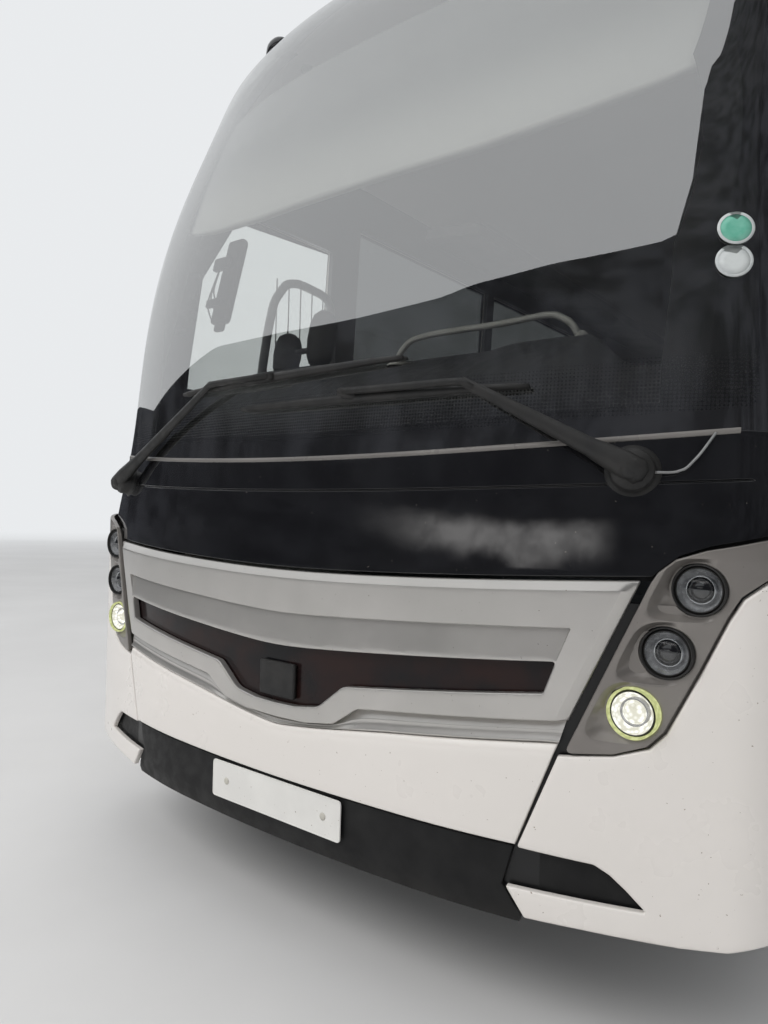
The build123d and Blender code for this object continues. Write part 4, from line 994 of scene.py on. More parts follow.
gap_lines = [to_girth(line_of(lambda x, up=up: flap_gap(x) + up, -1.18, 1.18, 80), True)
             for up in (-0.0038, -0.003, -0.0012, 0.0012, 0.003, 0.0038)]
scuttle = wrapped_panel("scuttle_skin", scuttle_outline(), "gloss_black", creases=gap_lines, relief=scuttle_relief,
                        upper=True, spacing=0.016, roll=0.0015, flange=0.018, by_girth=True)
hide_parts("scuttle_panel")
print("scuttle:", len(scuttle.data.polygons), "faces")

# %% [markdown]
# ## The windscreen
# One tall pane leans back to the roof. Real laminated glass is clear with a green-grey
# cast, has a black ceramic border that hides the bond, and fades into the clear glass
# through rows of dots. The pane is a fine grid, so that reflections flow over it, and
# it carries its distance from the edge, which the material turns into border and dots.

# %% Finish for bonded glass
DOT_PITCH = 0.009


CERAMIC = (0.006, 0.006, 0.007)


def bonded_glass(name, tint, mirror, border, dots_to):
    """Clear glass with a ceramic border and, along its foot, a fade of dots."""
    finish = Finish(name)
    edge = finish.add("ShaderNodeAttribute", attribute_name="edge").outputs["Fac"]
    above = finish.add("ShaderNodeAttribute", attribute_name="above_foot").outputs["Fac"]
    uv = finish.add("ShaderNodeUVMap", uv_map="girth").outputs["UV"]
    parts = finish.add("ShaderNodeSeparateXYZ")
    finish.link(uv, parts.inputs[0])
    offsets = []
    for index in (0, 1):
        wave = finish.maths("FRACT", finish.maths("DIVIDE", parts.outputs[index], DOT_PITCH))
        offsets.append(finish.maths("ABSOLUTE", finish.maths("SUBTRACT", wave, 0.5)))
    squares = [finish.maths("POWER", each, 2) for each in offsets]
    spread = finish.maths("SQRT", finish.maths("ADD", *squares))
    limit = finish.span(above, border, dots_to, 0.5, 0.12, smooth=False)
    limit = finish.maths("MULTIPLY", limit, finish.maths("LESS_THAN", above, dots_to))
    dot = finish.maths("LESS_THAN", spread, limit)
    solid = finish.maths("LESS_THAN", edge, border)
    mask = finish.maths("MAXIMUM", dot, solid)
    through = finish.plain("ShaderNodeBsdfTransparent", "Color", tint)
    pane = finish.blend(mask, through, finish.plain("ShaderNodeBsdfDiffuse", "Color", CERAMIC))
    dust_share = finish.span(finish.noise(2.5, 6, 0.65), 0.35, 0.8, 0.004, 0.03)
    dusty = finish.blend(dust_share, pane, finish.plain("ShaderNodeBsdfDiffuse", "Color", (0.42, 0.40, 0.37)))
    return finish.done(finish.sheen(dusty, 4.0, mirror))


bonded_glass("screen_glass", (0.93, 0.94, 0.925), 0.42, 0.055, 0.19)


# %% Lay the windscreen grid
SCREEN_TOP, SCREEN_COLUMNS, SCREEN_ROWS = 3.425, 96, 96
CROWN = (0.829, 3.1695, 0.374)


def crown_half(z):
    """Half the roof's width at a height, where the roof's shoulder cuts the pane's corners."""
    x, centre, radius = CROWN
    return x + sqrt(max(radius**2 - max(z - centre, 0.0) ** 2, 0.0)) if z > centre else BODY_HALF


def screen_reach(z):
    """The girth of the pane's side edge at a height."""
    side = girth_back(lean_at(max(z, CORNER_FOOT)) + POST_BACK, z, True)
    return min(side, girth_of(crown_half(z) - 0.012, z, True))


def screen_mesh(name, inset):
    """The pane as a grid that knows its distance from the edge and above the foot."""
    points, edges, heights, uvs = [], [], [], []
    reach_table = [screen_reach(1.38 + 2.06 * k / 60) for k in range(61)]
    for row in range(SCREEN_ROWS + 1):
        v = row / SCREEN_ROWS
        for column in range(SCREEN_COLUMNS + 1):
            u = -1 + 2 * column / SCREEN_COLUMNS
            foot = screen_foot(u * 1.15)
            z = foot + (SCREEN_TOP - foot) * v
            place = (z - 1.38) / 2.06 * 60
            k = max(0, min(59, int(place)))
            reach = reach_table[k] + (reach_table[k + 1] - reach_table[k]) * (place - k)
            girth = u * reach
            points.append(nose_point(girth, z, True, inset)[0])
            edges.append(min(reach - abs(girth), z - foot, SCREEN_TOP - z))
            heights.append(z - foot)
            uvs.append((girth, z))
    made = mesh_object(name, points, grid_faces(SCREEN_ROWS + 1, SCREEN_COLUMNS + 1, flip=True), "screen_glass")
    mesh = made.data
    mesh.attributes.new("edge", "FLOAT", "POINT").data.foreach_set("value", edges)
    mesh.attributes.new("above_foot", "FLOAT", "POINT").data.foreach_set("value", heights)
    layer = mesh.uv_layers.new(name="girth")
    for corner in mesh.loops:
        layer.data[corner.index].uv = uvs[corner.vertex_index]
    return made


clear("screen_inner", (0.97, 0.98, 0.97), 0.0)
screen = screen_mesh("windscreen_pane", 0.001)
screen.data.materials.append(MATERIALS["screen_inner"])
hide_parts("windscreen")
thick = screen.modifiers.new("thickness", "SOLIDIFY")
thick.thickness, thick.offset, thick.material_offset, thick.use_rim = 0.006, -1.0, 1, False
surface("foot_bead", (0.15, 0.14, 0.13), (0.12, 0.112, 0.104), 3, (0.25, 0.4), (900, 0.03))
BEAD = (
    # height above the glass's foot, depth behind the nose
    (0.004, 0.006), (0.0035, 0.0), (0.002, -0.002), (-0.003, -0.0028), (-0.008, -0.002), (-0.0105, 0.0005),
    (-0.011, 0.006),
)
swept("foot_bead", "foot_bead", 120, BEAD, lambda u, v: (1.155 * u, screen_foot(1.155 * u) + v[0], v[1]), upper=True)
print("windscreen:", len(screen.data.polygons), "quads")

# %% [markdown]
# ## Wipers
# Each wiper is a cast hub with a cap, a sprung arm that bends at a knuckle, a thin rod
# to the clip and a blade that lies along the glass. They are built from tapered bars
# swept between measured points, laid off the glass by a few centimetres.

# %% Bars swept between points
def bar(name, stations, finish, body="body", sides=12, flat=1.0, across=Vector((0, -1, 0))):
    """A bar through stations of (point, radius); flat squeezes it along the across direction."""
    points, faces = [], []
    count = len(stations)
    for i, (p, radius) in enumerate(stations):
        ahead_of = Vector(stations[min(i + 1, count - 1)][0]) - Vector(stations[max(i - 1, 0)][0])
        ahead_of.normalize()
        side = ahead_of.cross(across).normalized()
        lift = side.cross(ahead_of)
        for k in range(sides):
            turn = 2 * pi * k / sides
            points.append(Vector(p) + side * radius * cos(turn) + lift * radius * flat * sin(turn))
    for i in range(count - 1):
        for k in range(sides):
            a, b = i * sides + k, i * sides + (k + 1) % sides
            faces.append([a, b, b + sides, a + sides])
    faces += [list(range(sides - 1, -1, -1)), list(range((count - 1) * sides, count * sides))]
    return mesh_object(name, points, faces, finish, body)


def on_glass(x, z, lift=0.0):
    """A point a little in front of the upper nose."""
    at, out = nose_point(girth_of(x, z, True), z, True)
    tilt = Vector((out.x, out.y, 0.12)).normalized()
    return at + tilt * lift


def smooth_run(points):
    """A run of points eased through its corners."""
    found = [Vector(points[0])]
    for i in range(1, len(points) - 1):
        a, p, b = Vector(points[i - 1]), Vector(points[i]), Vector(points[i + 1])
        start, end = p.lerp(a, 0.3), p.lerp(b, 0.3)
        found += [(1 - t) ** 2 * start + 2 * t * (1 - t) * p + t * t * end for t in (k / 6 for k in range(7))]
    return found + [Vector(points[-1])]


WIPERS = (
    # side, pivot, elbow, clip, blade ends: x and height on the glass
    ("left", (0.953, 1.352), (0.553, 1.570), (0.172, 1.572), (-0.259, 1.558), (0.711, 1.557)),
    ("right", (-1.050, 1.340), (-0.396, 1.643), (-0.119, 1.644), (-0.599, 1.635), (0.358, 1.658)),
)
HUB = [(0.0, 0.072), (0.016, 0.072), (0.024, 0.068), (0.027, 0.060), (0.029, 0.052), (0.044, 0.048), (0.048, 0.040),
       (0.048, 0.018), (0.054, 0.012), (0.062, 0.006), (0.064, 0.0)]
ARM = (
    # share of the way from the pivot to the elbow, half width
    (-0.07, 0.014), (-0.04, 0.030), (0.05, 0.031), (0.18, 0.025), (0.22, 0.022), (0.6, 0.017), (0.93, 0.013),
    (1.0, 0.012),
)
for side, pivot, elbow, clip, blade_from, blade_to in WIPERS:
    base, cap = on_glass(*pivot, -0.006), on_glass(*pivot, 0.062)
    axis = (cap - base).normalized()
    turned(f"wiper_hub_{side}", HUB, base, "satin_black", facing=axis)
    near, far = on_glass(*pivot, 0.046), on_glass(*elbow, 0.050)
    bar(f"wiper_arm_{side}", [(near.lerp(far, t), r) for t, r in ARM], "satin_black", flat=0.7)
    bar(f"wiper_spring_{side}", [(near.lerp(far, t) - axis * 0.012, 0.008) for t in (0.10, 0.55)], "satin_black")
    tip = on_glass(*clip, 0.046)
    elbow_run = smooth_run([near.lerp(far, 0.92), far, on_glass(*elbow, 0.049).lerp(tip, 0.3), tip])
    bar(f"wiper_rod_{side}", [(p, 0.0105) for p in elbow_run], "satin_black")
    run = [on_glass(*Vector(blade_from).lerp(Vector(blade_to), k / 24), 0.020) for k in range(25)]
    spine = [(p, 0.0060 + 0.009 * (1 - abs(2 * k / 24 - 1)) ** 0.5) for k, p in enumerate(run)]
    bar(f"wiper_blade_{side}", spine, "satin_black", flat=1.1)
    bar(f"wiper_rubber_{side}", [(p - axis * 0.012, 0.005) for p in run], "satin_black", flat=1.6)
    clip_run = [(tip + axis * 0.004, 0.012), (tip.lerp(run[12], 0.5), 0.014), (run[12], 0.012)]
    bar(f"wiper_clip_{side}", clip_run, "satin_black")
hose = smooth_run([on_glass(x, z, lift) for x, z, lift in (
    (0.985, 1.348, 0.024), (1.035, 1.350, 0.010), (1.058, 1.360, 0.006), (1.083, 1.394, 0.005),
    (1.109, 1.441, 0.003))])
bar("washer_hose", [(p, 0.003) for p in hose], "tube_grey", sides=8)
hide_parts("wipers")

# %% [markdown]
# ## Finishes for the frame, the cabin and the running gear
# The remaining CAD parts already have the right shapes, so each only takes a finish. Road
# dirt gathers low down and fades upwards, which the helper does with the height of the
# object's own coordinates.

# %% Finishes for the carried-over parts
for name, lining in (("body_white", None), ("side_white", (0.10, 0.10, 0.105))):
    surface(name, (0.67, 0.632, 0.595), (0.63, 0.594, 0.557), 1.2, (0.28, 0.38), (900, 0.015),
            specks=((0.22, 0.17, 0.12), 0.0), foot=(DUST, 1.0, 0.35), lining=lining, Coat_Weight=0.6,
            Coat_Roughness=0.06)
surface("roof_paint", (0.68, 0.65, 0.615), (0.61, 0.585, 0.555), 0.8, (0.38, 0.5), (600, 0.02),
        specks=((0.22, 0.19, 0.15), 0.01), Coat_Weight=0.3, Coat_Roughness=0.1)
surface("dark_trim", (0.010, 0.010, 0.0105), (0.016, 0.0155, 0.015), 5, (0.42, 0.58), (1300, 0.2),
        Specular_IOR_Level=0.3)
surface("frame_paint", (0.040, 0.041, 0.043), (0.065, 0.062, 0.058), 4, (0.5, 0.7), (300, 0.25),
        foot=(DUST, 1.1, 0.5))
surface("cast_iron", (0.085, 0.082, 0.078), (0.13, 0.115, 0.10), 9, (0.55, 0.75), (500, 0.4),
        foot=(DUST, 0.8, 0.6), Metallic=0.3)
surface("engine_metal", (0.16, 0.16, 0.155), (0.23, 0.22, 0.21), 6, (0.45, 0.65), (250, 0.4), Metallic=0.5)
surface("deck_vinyl", (0.060, 0.064, 0.072), (0.095, 0.098, 0.105), 14, (0.55, 0.7), (900, 0.2),
        specks=((0.35, 0.35, 0.36), 0.03))
surface("bay_sheet", (0.36, 0.36, 0.355), (0.44, 0.44, 0.43), 5, (0.4, 0.55), (180, 0.25), Metallic=0.6)
surface("tyre_rubber", (0.022, 0.021, 0.020), (0.040, 0.037, 0.034), 11, (0.72, 0.88), (700, 0.35),
        specks=((0.17, 0.15, 0.12), 0.02))
surface("wheel_paint", (0.42, 0.42, 0.42), (0.33, 0.325, 0.315), 7, (0.32, 0.5), (600, 0.1),
        specks=((0.14, 0.12, 0.10), 0.03), Metallic=0.6)
surface("dash_moulding", (0.030, 0.030, 0.032), (0.046, 0.045, 0.046), 9, (0.5, 0.65), (1600, 0.35))
surface("rack_panel", (0.42, 0.41, 0.395), (0.34, 0.335, 0.325), 3, (0.4, 0.55), (1400, 0.15))
surface("cabin_trim", (0.105, 0.050, 0.040), (0.075, 0.036, 0.030), 5, (0.5, 0.7), (1000, 0.2))
housing = Finish("header_moulding")
x, _, z = housing.axes()
above_edge = housing.maths("SUBTRACT", z, housing.maths("MULTIPLY", housing.maths("POWER", x, 2), 0.105))
tone = housing.mix(housing.span(housing.noise(2, 4), 0.3, 0.7), (0.15, 0.15, 0.145), (0.19, 0.19, 0.185))
# Painted highlight: towards its bowed lower edge the housing is mixed to a much lighter grey, standing in for light
# falling along that edge.
tone = housing.mix(housing.span(above_edge, 2.27, 2.62, 0.8, 0.0), tone, (0.50, 0.49, 0.47))
housing.done(housing.principled(tone, 0.55, housing.bump(housing.noise(900), 0.1)))
clear("pane_glass", (0.45, 0.47, 0.47), 0.06)
PANE_SEAMS = (1.64, 3.14, 4.66, 6.18, 7.70, 9.22, 10.64, 11.88)
PANE_HEIGHTS, TAIL_PANE, PANE_BORDER = (1.72, 2.87), (0.95, 1.98, 2.76), 0.058
DRIVER_CLEAR = [(0.540, 1.725), (1.522, 1.725), (1.535, 2.698), (0.800, 2.660), (0.598, 2.310), (0.548, 1.880)]


def side_glass(name, tint, clear_tint, mirror):
    """The row of side panes: tinted, with a black border found from where each pane ends."""
    finish = Finish(name)
    x, y, z = finish.axes()

    def least(values):
        found = values[0]
        for value in values[1:]:
            found = finish.maths("MINIMUM", found, value)
        return found

    def inside_line(a, b):
        """How far a point is inside the line from a to b, both as distance back and height."""
        along = Vector((b[0] - a[0], b[1] - a[1])).normalized()
        shift = along.y * (a[0] + NOSE_Y) - along.x * a[1]
        rise, run = finish.maths("MULTIPLY", z, along.x), finish.maths("MULTIPLY", y, along.y)
        return finish.maths("ADD", finish.maths("SUBTRACT", rise, run), shift)

    def choose(share, first, second):
        chosen, rest = finish.maths("MULTIPLY", share, second), finish.maths("SUBTRACT", 1.0, share)
        return finish.maths("ADD", chosen, finish.maths("MULTIPLY", rest, first))

    seams = [finish.maths("ABSOLUTE", finish.maths("SUBTRACT", y, NOSE_Y + seam)) for seam in PANE_SEAMS]
    heights = [finish.maths("SUBTRACT", z, PANE_HEIGHTS[0]), finish.maths("SUBTRACT", PANE_HEIGHTS[1], z)]
    saloon = least(seams + heights)
    driver = least([inside_line(a, b) for a, b in zip(DRIVER_CLEAR, DRIVER_CLEAR[1:] + DRIVER_CLEAR[:1])])
    half, foot, head = TAIL_PANE
    edges = ((half, finish.maths("ABSOLUTE", x)), (z, foot), (head, z))
    tail = least([finish.maths("SUBTRACT", *pair) for pair in edges])
    at_driver = finish.maths("LESS_THAN", y, NOSE_Y + 1.58)
    edge = choose(finish.maths("GREATER_THAN", y, 5.75), choose(at_driver, saloon, driver), tail)
    through = finish.add("ShaderNodeBsdfTransparent")
    finish.link(finish.mix(at_driver, tint, clear_tint), through.inputs["Color"])
    ink = finish.plain("ShaderNodeBsdfDiffuse", "Color", CERAMIC)
    pane = finish.blend(finish.maths("LESS_THAN", edge, PANE_BORDER), through.outputs[0], ink)
    return finish.done(finish.sheen(pane, 5.0, mirror, 0.01))


side_glass("saloon_panes", (0.30, 0.31, 0.31), (0.95, 0.965, 0.96), 0.05)


def lamp_stack(name, bands):
    """A ribbed lens whose colour changes with height: bands are (top, colour), with dark gaps between."""
    finish = Finish(name)
    z = finish.axes()[2]
    colour = bands[0][1]
    gap = None
    for (top, _), (_, above) in zip(bands, bands[1:]):
        colour = finish.mix(finish.maths("GREATER_THAN", z, top), colour, above)
        near = finish.maths("LESS_THAN", finish.maths("ABSOLUTE", finish.maths("SUBTRACT", z, top)), 0.004)
        gap = near if gap is None else finish.maths("MAXIMUM", gap, near)
    colour = finish.mix(gap, colour, (0.01, 0.01, 0.011))
    ribs = finish.add("ShaderNodeTexWave", bands_direction="Z")
    ribs.inputs["Scale"].default_value = 30
    finish.link(finish.place, ribs.inputs["Vector"])
    relief = finish.maths("ADD", ribs.outputs["Fac"], finish.cells(110))
    return finish.done(finish.principled(colour, 0.1, finish.bump(relief, 0.4), Coat_Weight=1.0))


RED, AMBER, PALE = (0.40, 0.010, 0.012), (0.70, 0.22, 0.012), (0.62, 0.62, 0.62)
lamp_stack("tail_stack", [(0.775, (0.26, 0.006, 0.010)), (0.865, PALE), (0.965, AMBER), (1.20, RED), (1.30, RED)])

# The carrier shows as the floor of the lamp pockets, and takes the surround's grey there.
POCKET_MIDDLE, POCKET_HALF, POCKET_HEIGHTS = 0.630, 0.080, (0.745, 1.15)
carrier = Finish("carrier_trim")
x, _, z = carrier.axes()
lean = carrier.maths("SUBTRACT", carrier.maths("ABSOLUTE", x), carrier.maths("MULTIPLY", z, LEAN))
funnel = carrier.maths("ABSOLUTE", carrier.maths("SUBTRACT", lean, POCKET_MIDDLE))
funnel = carrier.maths("LESS_THAN", funnel, POCKET_HALF)
for limit, rule in zip(POCKET_HEIGHTS, ("GREATER_THAN", "LESS_THAN")):
    funnel = carrier.maths("MULTIPLY", funnel, carrier.maths(rule, z, limit))
tone = carrier.mix(carrier.span(carrier.noise(4, 4), 0.35, 0.65), *LAMP_GREYS)
tone = carrier.mix(funnel, (0.012, 0.012, 0.0125), tone)
carrier.done(carrier.principled(tone, 0.42, carrier.bump(carrier.noise(1800), 0.06), Metallic=0.45, Coat_Weight=0.25))

CAD_FINISHES = {}
for finish_name, its_nodes in (
    ("white_paint", "front_corners front_bumper"), ("body_white", "skirts tail_panel rear_bumper engine_door"),
    ("side_white", "side_left side_right"), ("roof_paint", "roof roof_unit"), ("silver_paint", "grille_panel"),
    ("gloss_black", "passenger_door scuttle_panel grille_insert"),
    ("satin_black", "steering_wheel camera_arms wipers"),
    ("dark_trim", "nose_frame door_arm"), ("carrier_trim", "front_carrier"), ("valance_black", "valance"),
    ("lamp_grey", "lamp_panels"), ("lamp_bowl", "headlamps"), ("tail_stack", "tail_lamps"),
    ("pane_glass", "door_glass windscreen"), ("saloon_panes", "saloon_glass"), ("frame_paint", "chassis towing_eyes"),
    ("cast_iron", "front_axle drive_axle knuckle_left knuckle_right tie_rod"), ("engine_metal", "engine"),
    ("deck_vinyl", "floor_deck"), ("bay_sheet", "luggage_bay"), ("rack_panel", "luggage_racks"),
    ("dash_moulding", "dashboard"), ("header_moulding", "screen_header"), ("cabin_trim", "seats"),
):
    CAD_FINISHES.update((node, finish_name) for node in its_nodes.split())
for hand in ("left", "right"):
    CAD_FINISHES[f"tyre_front_{hand}"] = CAD_FINISHES[f"tyres_rear_{hand}"] = "tyre_rubber"
    CAD_FINISHES[f"rim_front_{hand}"] = CAD_FINISHES[f"rims_rear_{hand}"] = "wheel_paint"
    for number in (1, 2, 3):
        CAD_FINISHES[f"locker_{hand}_{number}"] = "body_white"
for node, finish_name in CAD_FINISHES.items():
    slots = nodes[node].data.materials
    slots.clear()
    slots.append(MATERIALS[finish_name])
print("CAD nodes without a finish:", sorted(set(nodes) - set(CAD_FINISHES)))

# %% [markdown]
# ## Plates, discs and camera pods
# Small pieces that stand proud catch the eye first. The number plate is a pressed blank
# on two capped bolts. Two round discs are stuck inside the glass. The camera pods that
# stand in for mirrors are smooth shells on short stalks, with a lens that looks back.

# %% Fix the plates, discs and pods
PLATE_HALF, PLATE_Z = 0.260, (0.3675, 0.4785)
BOLT_CAP = [(0.0, -0.0022), (0.006, -0.0020), (0.0095, -0.0010), (0.0105, 0.0005), (0.0105, 0.004)]


def plate(name, y, facing, finish):
    """A blank number plate with rounded corners, a rolled rim and two bolt caps."""
    low, high = PLATE_Z
    corners = [(-PLATE_HALF, low), (PLATE_HALF, low), (PLATE_HALF, high), (-PLATE_HALF, high)]
    loop = rounded(corners, 0.012)
    points, faces = [], []
    for inset, depth in ((0.0, 0.004), (0.0, 0.0006), (0.0006, 0.0), (0.004, 0.0), (0.0046, 0.0008)):
        for x, z in offset(loop, inset):
            points.append((x, y + facing * depth, z))
    count = len(loop)
    for ring in range(4):
        faces += ring_faces([ring * count + i for i in range(count)], (ring + 1) * count)
    faces.append([4 * count + i for i in range(count)])
    blank = mesh_object(name, points, faces, finish, smooth=False)
    for hand in (-1, 1):
        turned(f"{name}_cap_{'left' if hand > 0 else 'right'}", BOLT_CAP, (hand * 0.197, y, 0.423), "cap_plastic",
               24, facing=Vector((0, facing, 0)))
    return blank


surface("plate_white", (0.68, 0.665, 0.63), (0.63, 0.615, 0.585), 5, (0.28, 0.36), (900, 0.03),
        specks=((0.25, 0.20, 0.15), 0.02), Coat_Weight=0.4)
surface("cap_plastic", (0.50, 0.48, 0.42), (0.44, 0.42, 0.37), 90, (0.3, 0.45), (1500, 0.05))
surface("disc_green", (0.10, 0.36, 0.26), (0.16, 0.42, 0.32), 30, (0.3, 0.4), (900, 0.03), Coat_Weight=0.6)
surface("disc_pale", (0.52, 0.54, 0.53), (0.44, 0.46, 0.46), 30, (0.3, 0.4), (900, 0.03), Coat_Weight=0.6)
plate("plate_front", -6.1475, 1, "plate_white")
blocks("plate_backing", "satin_black", [((-0.25, -6.1445, 0.375), (0.25, -6.130, 0.471), 0)], bevel=0.004)


def screen_disc(name, x, z, finish, rim):
    """A round sticker behind the glass, with a printed rim."""
    at, out = nose_point(girth_of(x, z, True), z, True, -0.0006)
    normal = Vector((out.x, out.y, 0.20)).normalized()
    turned(name, [(0.0, 0.0), (0.018, 0.0), (0.0345, 0.0), (0.0345, -0.001)], at, finish, facing=normal)
    turned(f"{name}_rim", [(0.0335, 0.0004), (0.0400, 0.0004), (0.0400, -0.0006)], at, rim, facing=normal)


screen_disc("disc_upper", 1.126, 1.907, "disc_green", "disc_pale")
screen_disc("disc_lower", 1.126, 1.831, "disc_pale", "disc_pale")

POD_RADII = (0.004, 0.020, 0.031, 0.037, 0.039, 0.039, 0.036, 0.028, 0.016, 0.003)
for side, hand in HANDS:
    inner, outer = Vector((hand * 1.062, -5.190, 3.474)), Vector((hand * 1.146, -5.199, 3.441))
    stations = [(inner.lerp(outer, -0.30 + 1.45 * k / 9), r) for k, r in enumerate(POD_RADII)]
    pod = bar(f"camera_pod_{side}", stations, "gloss_black", sides=24, flat=0.85)
    stalk = [(Vector((hand * x, y, z)), r) for x, y, z, r in (
        (1.045, -5.015, 3.410, 0.030), (1.060, -5.060, 3.424, 0.024), (1.085, -5.130, 3.444, 0.020),
        (1.100, -5.185, 3.456, 0.022))]
    bar(f"camera_stalk_{side}", stalk, "satin_black", sides=20, flat=0.7)
    eye_at = inner.lerp(outer, 0.62) + Vector((0, 0.026, 0.0))
    eye = [(0.0, 0.004), (0.006, 0.0035), (0.010, 0.001), (0.012, 0.003), (0.015, 0.002), (0.016, -0.008)]
    turned(f"camera_lens_{side}", eye, eye_at, "chrome", 24)
    if hand > 0:
        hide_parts("camera_arms")
print("plates, discs and pods fixed")

# %% [markdown]
# ## What shows through the windscreen
# The driver's place is seen through the glass: a steel rail on the panel, a tube hoop by
# the window, the monitors that take the mirrors' place and the instruments. Tubes are
# bars swept through eased corners. The sign housing above is blank, and its edge bows.

# %% Furnish the cab
surface("rail_steel", (0.62, 0.60, 0.56), (0.58, 0.56, 0.52), 3, (0.2, 0.26), (1500, 0.02), Metallic=0.6)
surface("screen_dark", (0.010, 0.011, 0.013), (0.014, 0.015, 0.017), 8, (0.08, 0.14), (900, 0.01))
COWL = (
    # share of the way from the glass to the rear edge, height
    (0.0, 1.462), (0.02, 1.475), (0.30, 1.560), (0.62, 1.690), (0.86, 1.775), (0.95, 1.790), (1.0, 1.778),
    (1.01, 1.750), (1.0, 1.47),
)
COWL_ENDS, COWL_COLUMNS = (-1.10, 0.98), 60


def cowl_rear(x):
    """How far back the panel's hood reaches; it stops short beside the entry."""
    return -5.470 - 0.060 * smooth_step(0.28, 0.44, x)


def dash_hood():
    """The moulded hood that rises from the foot of the glass to the instruments."""
    points = []
    for i in range(COWL_COLUMNS + 1):
        x = COWL_ENDS[0] + (COWL_ENDS[1] - COWL_ENDS[0]) * i / COWL_COLUMNS
        fall = 0.11 * smooth_step(0.66, 0.80, x)
        for share, z in COWL:
            front = nose_point(girth_of(x, 1.47, True), 1.47, True, 0.045)[0].y
            swell = 0.035 * (1 - smooth_step(0.16, 0.32, abs(x + 0.65))) * smooth_step(0.5, 0.9, share)
            height = z - fall * smooth_step(0.1, 0.8, share) + (swell if z > 1.5 else 0.0)
            points.append((x, front + (cowl_rear(x) - front) * share, height))
    rows = len(COWL)
    faces = grid_faces(COWL_COLUMNS + 1, rows)
    faces += [list(range(rows))[::-1], [COWL_COLUMNS * rows + j for j in range(rows)]]
    hood = mesh_object("dash_hood", points, faces, "dash_moulding")
    hood.modifiers.new("weighted", "WEIGHTED_NORMAL").mode = "FACE_AREA"
    return hood


dash_hood()
RAIL_Y, PANEL_TOP = -5.55, 1.770
rail_points = [(-0.045, PANEL_TOP), (-0.035, 1.81), (0.010, 1.850), (0.110, 1.860), (0.350, 1.858), (0.545, 1.866),
               (0.606, 1.830), (0.640, PANEL_TOP)]
rail_run = smooth_run([(x, RAIL_Y, z) for x, z in rail_points])
bar("grab_rail", [(p, 0.011) for p in rail_run], "rail_steel", sides=16)
for number, x in enumerate((-0.045, 0.640), 1):
    turned(f"rail_foot_{number}", [(0.011, 0.03), (0.014, 0.026), (0.030, 0.010), (0.036, 0.006), (0.037, -0.006)],
           (x, RAIL_Y, PANEL_TOP), "rail_steel", 32, facing=Vector((0, 0, 1)))
HOOP = [(-5.285, 1.50), (-5.276, 1.86), (-5.240, 2.09), (-5.205, 2.235), (-5.130, 2.335), (-5.040, 2.358),
        (-4.850, 2.341), (-4.800, 2.28), (-4.790, 1.50)]
hoop_run = smooth_run([(-1.05, y, z) for y, z in HOOP])
bar("driver_hoop", [(p, 0.021) for p in hoop_run], "tube_grey", sides=16)
for number, (y, z) in enumerate(((-5.285, 1.56), (-4.790, 1.56)), 1):
    bar(f"hoop_bracket_{number}", [(Vector((x, y, z)), 0.016) for x in (-1.05, -1.235)], "tube_grey")
for number, y in enumerate((-5.19, -5.11, -5.03, -4.95, -4.87), 1):
    bar(f"hoop_wire_{number}", [(Vector((-1.05, y, z)), 0.003) for z in (1.50, 2.345)], "tube_grey", sides=8)
for side, hand in HANDS:
    near, far = sorted((hand * 1.032, hand * 1.135))
    blocks(f"mirror_screen_case_{side}", "dash_moulding", [((near, -5.470, 2.060), (far, -5.430, 2.470), -14),
           ((near + 0.022, -5.512, 2.030), (far - 0.022, -5.486, 2.075), -14)], bevel=0.014)
    glass = ((near + 0.012, -5.434, 2.072), (far - 0.012, -5.425, 2.450), -14)
    blocks(f"mirror_screen_{side}", "screen_dark", [glass])
    low, high = sorted((hand * 1.08, hand * 1.185))
    blocks(f"mirror_screen_arm_{side}", "dash_moulding", [((low, -5.462, 2.325), (high, -5.438, 2.385), -14),
           ((low, -5.500, 2.150), (high, -5.480, 2.190), -14)], bevel=0.006)
    for number, (drop, reach) in enumerate(((0.20, 0.050), (0.25, 0.075), (0.16, 0.030)), 1):
        loose = smooth_run([(hand * 1.135, -5.46, 2.34), (hand * (1.135 + reach), -5.475, 2.33 - 0.6 * drop),
                            (hand * (1.125 + reach / 2), -5.48, 2.34 - drop), (hand * 1.12, -5.49, 2.17)])
        bar(f"mirror_cable_{side}_{number}", [(p, 0.0035) for p in loose], "tube_grey", sides=8)
POD_PROFILE = [(0.0, 0.100), (0.026, 0.096), (0.046, 0.080), (0.056, 0.050), (0.058, 0.0), (0.052, -0.055),
               (0.040, -0.078), (0.0, -0.082)]
for name, x, z, tall in (("radio", -0.702, 1.885, 1.0), ("till", -0.507, 1.930, 1.25)):
    tip = Vector((x, -5.45, z))
    turned(f"{name}_shell", [(r, a * tall) for r, a in POD_PROFILE], tip, "dash_moulding", 32,
           facing=Vector((0, 0.17, 0.985)))
    bar(f"{name}_stalk", [(tip - Vector((0, 0, 0.06)), 0.015), (Vector((x, -5.50, 1.47)), 0.020)], "dash_moulding")
bar("radio_link", [(Vector((x, -5.45, 1.90)), 0.012) for x in (-0.70, -0.51)], "dash_moulding")
bar("radio_aerial", [(Vector((-0.715, -5.44, 1.95)), 0.0035), (Vector((-0.720, -5.43, 2.06)), 0.002)],
    "dash_moulding", sides=8)
HEADER_EDGE = ((0.0, 2.262), (0.45, 2.266), (0.64, 2.285), (0.785, 2.310), (0.92, 2.342), (1.04, 2.382),
               (1.16, 2.430))
HEADER = (
    # share of the way up from the lower edge, and depth behind the nose
    (0.03, 0.105), (0.004, 0.098), (-0.003, 0.088), (-0.004, 0.072), (0.0, 0.064), (0.02, 0.060), (0.3, 0.060),
    (0.6, 0.060), (1.0, 0.060),
)


def header_place(u, v):
    foot = eased(HEADER_EDGE, 1.13 * u)
    return 1.13 * u, foot + (2.900 - foot) * v[0], v[1]


